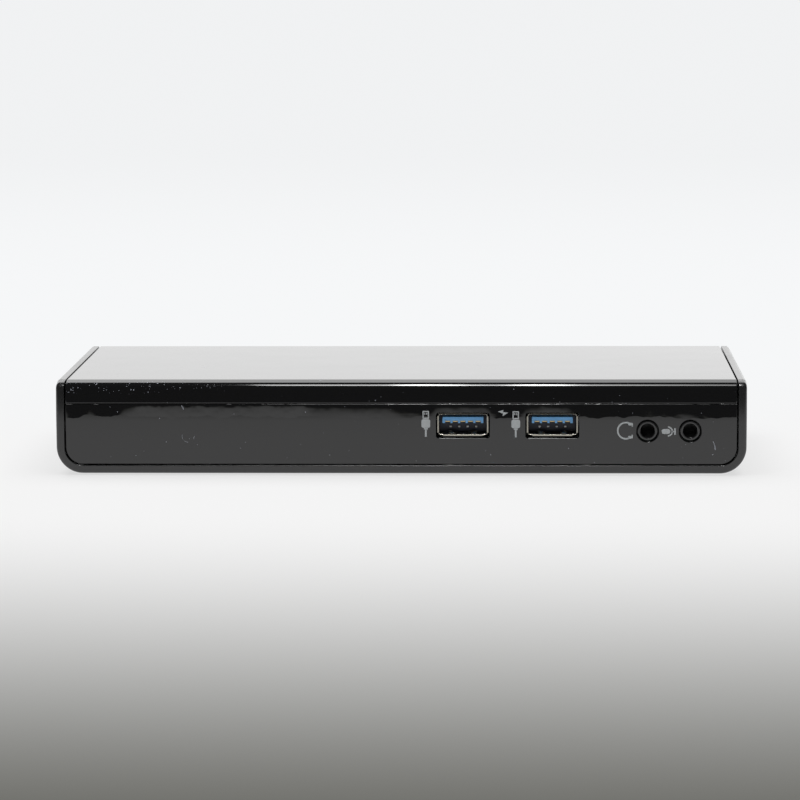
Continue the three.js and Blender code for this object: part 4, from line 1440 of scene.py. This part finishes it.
def softened(name, nodes, width, material, slot):
    """A copy of some nodes with every sharp edge rounded by width, standing for them."""
    def build(bm):
        for node in nodes:
            bm.from_mesh(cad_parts[node].data)
        bmesh.ops.remove_doubles(bm, verts=bm.verts, dist=1e-6)
        bmesh.ops.dissolve_limit(bm, angle_limit=math.radians(1.0), verts=bm.verts, edges=bm.edges)

    piece = solid(name, build)
    bevel = piece.modifiers.new("edges", "BEVEL")
    bevel.width = width
    bevel.segments = 2
    bevel.limit_method = "ANGLE"
    bevel.angle_limit = math.radians(40.0)
    bevel.use_clamp_overlap = True
    bpy.context.view_layer.update()
    return dress(smooth(baked(piece)), material, slot, *nodes)


STEEL = [
    "usb_b_shell", "usb_stack_a_shell", "usb_stack_b_shell", "video_small_shell", "video_wide_shell",
]
NYLON = ["usb_b_insert", "usb_stack_a_insert", "usb_stack_b_insert", "video_small_insert"]
for node in STEEL:
    softened(node + "_soft", [node], 0.09 * MM, tinned_steel, "socket_steel")
for node in NYLON:
    softened(node + "_soft", [node], 0.12 * MM, black_nylon, "socket_black")
softened("network_body", ["network_jack"], 0.25 * MM, black_nylon, "socket_black")
softened("inlet_body", ["dc_inlet"], 0.25 * MM, black_nylon, "socket_black")


def in_socket(node):
    """The origin of a rear socket: its middle, at its mouth and on top of the board."""
    return (middle(node).x, REAR_MATE, BOARD_TOP)


# Each set of contacts: its socket, the first one's reach in x, how far in it goes, its reach in z,
# and then the columns, their step, the rows and their step.
CONTACTS = [
    ("usb_stack_a_contacts", "usb_stack_a_shell", (-4, -3), 5, (3.42, 3.6), 4, 7 / 3, 2, 9.05),
    ("usb_stack_b_contacts", "usb_stack_b_shell", (-4, -3), 5, (3.42, 3.6), 4, 7 / 3, 2, 9.05),
    ("usb_b_contacts", "usb_b_shell", (-1.8, -0.7), 6, (3.5, 6.9), 2, 2.5, 1, 0),
    ("usb_b_fast_contacts", "usb_b_shell", (-1.8, -1.3), 6, (9.8, 11.0), 4, 1.03, 1, 0),
    ("video_small_contacts", "video_small_shell", (-4.7, -4.3), 5, (3.2, 4.5), 10, 1, 1, 0),
]
for name, node, across, deep, up, columns, step, rows, row_step in CONTACTS:
    first = block_at(name, in_socket(node), across, (-deep, -1.4), up, 0.08)
    grid = repeated(smooth(first), columns, (step * MM, 0, 0), rows, (0, 0, row_step * MM))
    dress(grid, gold_plate, "socket_steel")

# %% Network wires, video pins, nuts and the inlet's pin
def spring_wires(bm):
    """One of the eight sprung wires of the network socket: it slopes down and back from the roof."""
    slope = [(-1.6, 10.9, 11.3), (-2.2, 10.7, 11.1), (-8.0, 7.6, 8.0), (-9.2, 7.5, 7.9)]
    add_leaf(bm, in_socket("network_jack"), -3.57, 0.23, slope)


wires = repeated(smooth(solid("network_wires", spring_wires)), 8, (1.02 * MM, 0, 0))
dress(wires, gold_plate, "socket_steel")

insert = softened(
    "video_wide_insert_soft", ["video_wide_insert"], 0.12 * MM, black_nylon, "socket_black")
PIN_STEP = 1.9 * MM
video_at = in_socket("video_wide_shell")
pin_hole = block_at("pin", video_at, (-3.9, -2.9), (-3, 0), (4.8, 5.8), 0.15)
blades = [
    block_at("blade", video_at, (-8.0 - wide, -8.0 + wide), (-3, 0), (7.2 - high, 7.2 + high), 0.1)
    for wide, high in ((2.4, 0.35), (0.35, 2.4))
]
cut(insert, repeated(pin_hole, 8, (PIN_STEP, 0, 0), 3, (0, 0, PIN_STEP)), *blades)
print("video socket:", len(insert.data.polygons), "faces with its holes")

nut_low, nut_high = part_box("video_nut_right")
NUT_R = 2.75 * MM
THREAD_R = 1.25 * MM


def hexagon(shrink=0.0):
    """A hexagon with rounded corners in as many points as the bore's circle."""
    outline = rounded_polygon(arc(0, 0, NUT_R, 0, 300, 5), 0.5 * MM, -shrink, 3)
    return [(x + wide_mid.x - NUT_X, z + wide_z) for x, z in outline]


def bore(radius):
    return arc(wide_mid.x - NUT_X, wide_z, radius, -30, 330, 24)[:-1]


# Up the outside from the panel, over the face and down the threaded hole.
nut = loft("video_nuts", [at_y(outline, y) for outline, y in (
    (hexagon(), nut_low.y), (hexagon(), nut_high.y - 0.35 * MM),
    (hexagon(0.1 * MM), nut_high.y - 0.1 * MM), (hexagon(0.3 * MM), nut_high.y),
    (bore(THREAD_R + 0.3 * MM), nut_high.y), (bore(THREAD_R), nut_high.y - 0.3 * MM),
    (bore(THREAD_R), nut_low.y + 0.8 * MM),
)])
dress(repeated(smooth(nut), 2, (2 * NUT_X, 0, 0)), zinc_plate, "socket_steel", "video_nut_left",
      "video_nut_right")

PIN_PROFILE = [(0.3, 0.0), (0.7, 0.08), (0.92, 0.3), (1.0, 0.7), (1.0, 8.6)]
pin_mid = middle("dc_inlet_pin")
pin = turned("inlet_pin", PIN_PROFILE, at_y, pin_mid.x, pin_mid.z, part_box("dc_inlet_pin")[1].y, -1, 32)
dress(smooth(pin, 50), tinned_steel, "socket_steel", "dc_inlet_pin")

# %% [markdown]
# ## The posts
# The boards stand on hollow posts that grow from the floor of the case, and the case screws run up
# through taller ones into posts under the cover. Each post is a ring swept upwards.

# %% Raise the posts
BOARD_SCREWS = [f"main_board_screw_{i}" for i in (1, 2, 3, 4)]
BOARD_SCREWS += [f"front_board_screw_{i}" for i in (1, 2)]
FLOOR = UNDERSIDE + WALL - 0.1 * MM
CASE_POST_TOP = cover_low.z - 0.1 * MM
COVER_IN = TOP - COVER_T + 0.1 * MM
POST_EDGE = 0.2 * MM


def posts(name, ends, outer, inner, material, slot):
    """Hollow posts. ends is a list of (screw's node, low z, high z)."""
    def build(bm):
        for node, low, high in ends:
            profile = (
                (outer, low), (outer, high - POST_EDGE), (outer - POST_EDGE, high), (inner, high),
                (inner, low),
            )
            add_loft(bm, [
                at_z(circle(radius, *middle(node)[:2], 28), z) for radius, z in profile], True)

    return dress(smooth(solid(name, build)), material, slot)


board_under = {name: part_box(name)[0].z for name in ("main_board", "front_board")}
low_ends = [(node, FLOOR, board_under[node.split("_screw")[0]]) for node in BOARD_SCREWS]
case_ends = [(node, FLOOR + MM, CASE_POST_TOP) for node in SCREWS]
cover_ends = [(node, cover_low.z, COVER_IN) for node in SCREWS]
posts("board_posts", low_ends, 2.6 * MM, 1.0 * MM, satin_black, "case_black")
posts("case_posts", case_ends, 3.2 * MM, 1.3 * MM, satin_black, "case_black")
posts("cover_posts", cover_ends, 3.0 * MM, 1.2 * MM, gloss_black, "cover_black")

# %% [markdown]
# ## Inside
# Inside the case, only the heat sink can be glimpsed, through the vents. It is an extrusion: a base
# with nine fins, here one fin repeated. The other parts inside keep their engineering shape and get
# their real materials: green solder mask with its tracks, moulded epoxy, ferrite, sleeve and film.

# %% Heat sink
FINS = 9
FIN_PITCH = 3.2 * MM
FIN_WIDE = 1.2 * MM
SINK_BASE = 2 * MM
sink_low, sink_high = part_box("heat_sink")


def anodised_recipe(tree):
    drawn = tree.noise(1.0, 4.0, 0.6, tree.stretched((3000.0, 60.0, 3000.0)))
    pale, dark = (shade(level, (1.0, 1.02, 1.05)) for level in (0.36, 0.26))
    return grained(tree, drawn, pale, dark, 0.32, 0.16, 0.004, Metallic=1.0)


anodised = finish("anodised", anodised_recipe)
base = block("heat_sink_base", sink_low, (sink_high.x, sink_high.y, sink_low.z + SINK_BASE), 0.2 * MM)
dress(smooth(base), anodised, "fin_aluminium", "heat_sink")
fin = block("heat_sink_fins", (sink_low.x, sink_low.y, sink_low.z + SINK_BASE - 0.1 * MM),
            (sink_low.x + FIN_WIDE, sink_high.y, sink_high.z), 0.3 * MM)
dress(repeated(smooth(fin), FINS, (FIN_PITCH, 0, 0)), anodised, "fin_aluminium")

# %% Materials for the parts that keep their shape
def board_recipe(tree):
    """Solder mask over copper tracks, with tinned pads showing here and there."""
    x, y, _ = tree.axes()
    lanes = tree.noise(140.0, 0.0, vector=tree.stretched((1.0, 3.0, 0.1)))
    track = ((lanes * 9.0).part() - 0.5).size() < 0.16
    distance, chance = tree.cells(420.0, tree.node("ShaderNodeCombineXYZ", inputs=[x, y, 0.0])[0])
    draw = tree.node("ShaderNodeSeparateColor", inputs=[chance])[0]
    pad = (distance < 0.22) * (draw > 0.72)
    mask = tree.mix(track, (0.006, 0.055, 0.022, 1.0), (0.012, 0.10, 0.04, 1.0))
    return {
        "Base Color": tree.mix(pad, mask, (0.60, 0.58, 0.52, 1.0)),
        "Metallic": pad,
        "Roughness": 0.28 + tree.noise(800.0, 2.0) * 0.1,
        "Normal": tree.bump((track + pad) * (0.02 * MM)),
    }


def epoxy_recipe(tree):
    return grained(tree, tree.noise(3800.0, 2.0), shade(0.012), shade(0.028), 0.55, 0.2, 0.006)


def soft_recipe(low, high, rough, scale, relief):
    """Rubbery, fibrous or film-like matter between two tones."""
    return lambda tree: grained(tree, tree.noise(scale, 4.0, 0.6), low, high, rough, 0.12, relief)


def film_recipe(tree):
    """A white flat cable with its conductors showing as faint grey lines."""
    x = tree.axes()[0]
    wires = ((x * 1000.0).part() - 0.5).size() < 0.22
    return {
        "Base Color": tree.mix(wires, shade(0.72), shade(0.46, (1.0, 0.99, 0.96))),
        "Roughness": 0.3 + tree.noise(600.0, 2.0) * 0.1,
        "Normal": tree.bump(wires * (0.03 * MM)),
    }


def clear_recipe(tree):
    clear = {"Transmission Weight": 0.85, "IOR": 1.49}
    return grained(tree, tree.noise(500.0, 3.0), shade(0.92), shade(0.80), 0.08, 0.1, **clear)


def paint(material, *nodes):
    """Gives nodes that keep their shape a better material."""
    for node in nodes:
        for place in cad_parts[node].material_slots:
            place.material = material
    print(material.name, "on", len(nodes), "parts")


sleeve_recipe = soft_recipe(shade(0.02), shade(0.04, (0.8, 0.9, 1.4)), 0.3, 300.0, 0.01)
for name, recipe, nodes in (
    ("solder_mask", board_recipe, ["main_board", "front_board"]),
    ("epoxy", epoxy_recipe, ["display_chip", "usb_hub_chip", "audio_chip", "network_transformer"]),
    ("ferrite", soft_recipe(shade(0.05), shade(0.09), 0.5, 1500.0, 0.02), ["power_inductor"]),
    ("capacitor_sleeve", sleeve_recipe, ["bulk_capacitor"]),
    ("thermal_pad", soft_recipe(shade(0.22), shade(0.30), 0.8, 900.0, 0.03), ["thermal_pad"]),
    ("white_nylon", nylon_recipe(shade(0.66, (1.0, 1.0, 0.95))),
     ["switch_plunger", "ribbon_socket_main", "ribbon_socket_front"]),
    ("flat_cable", film_recipe, ["ribbon_cable"]),
    ("clear_acrylic", clear_recipe, ["light_pipe", "status_lamp"]),
):
    paint(finish(name, recipe), *nodes)
paint(black_nylon, "power_switch")
paint(zinc_plate, "ballast_plate", "lock_slot_plate", *BOARD_SCREWS)
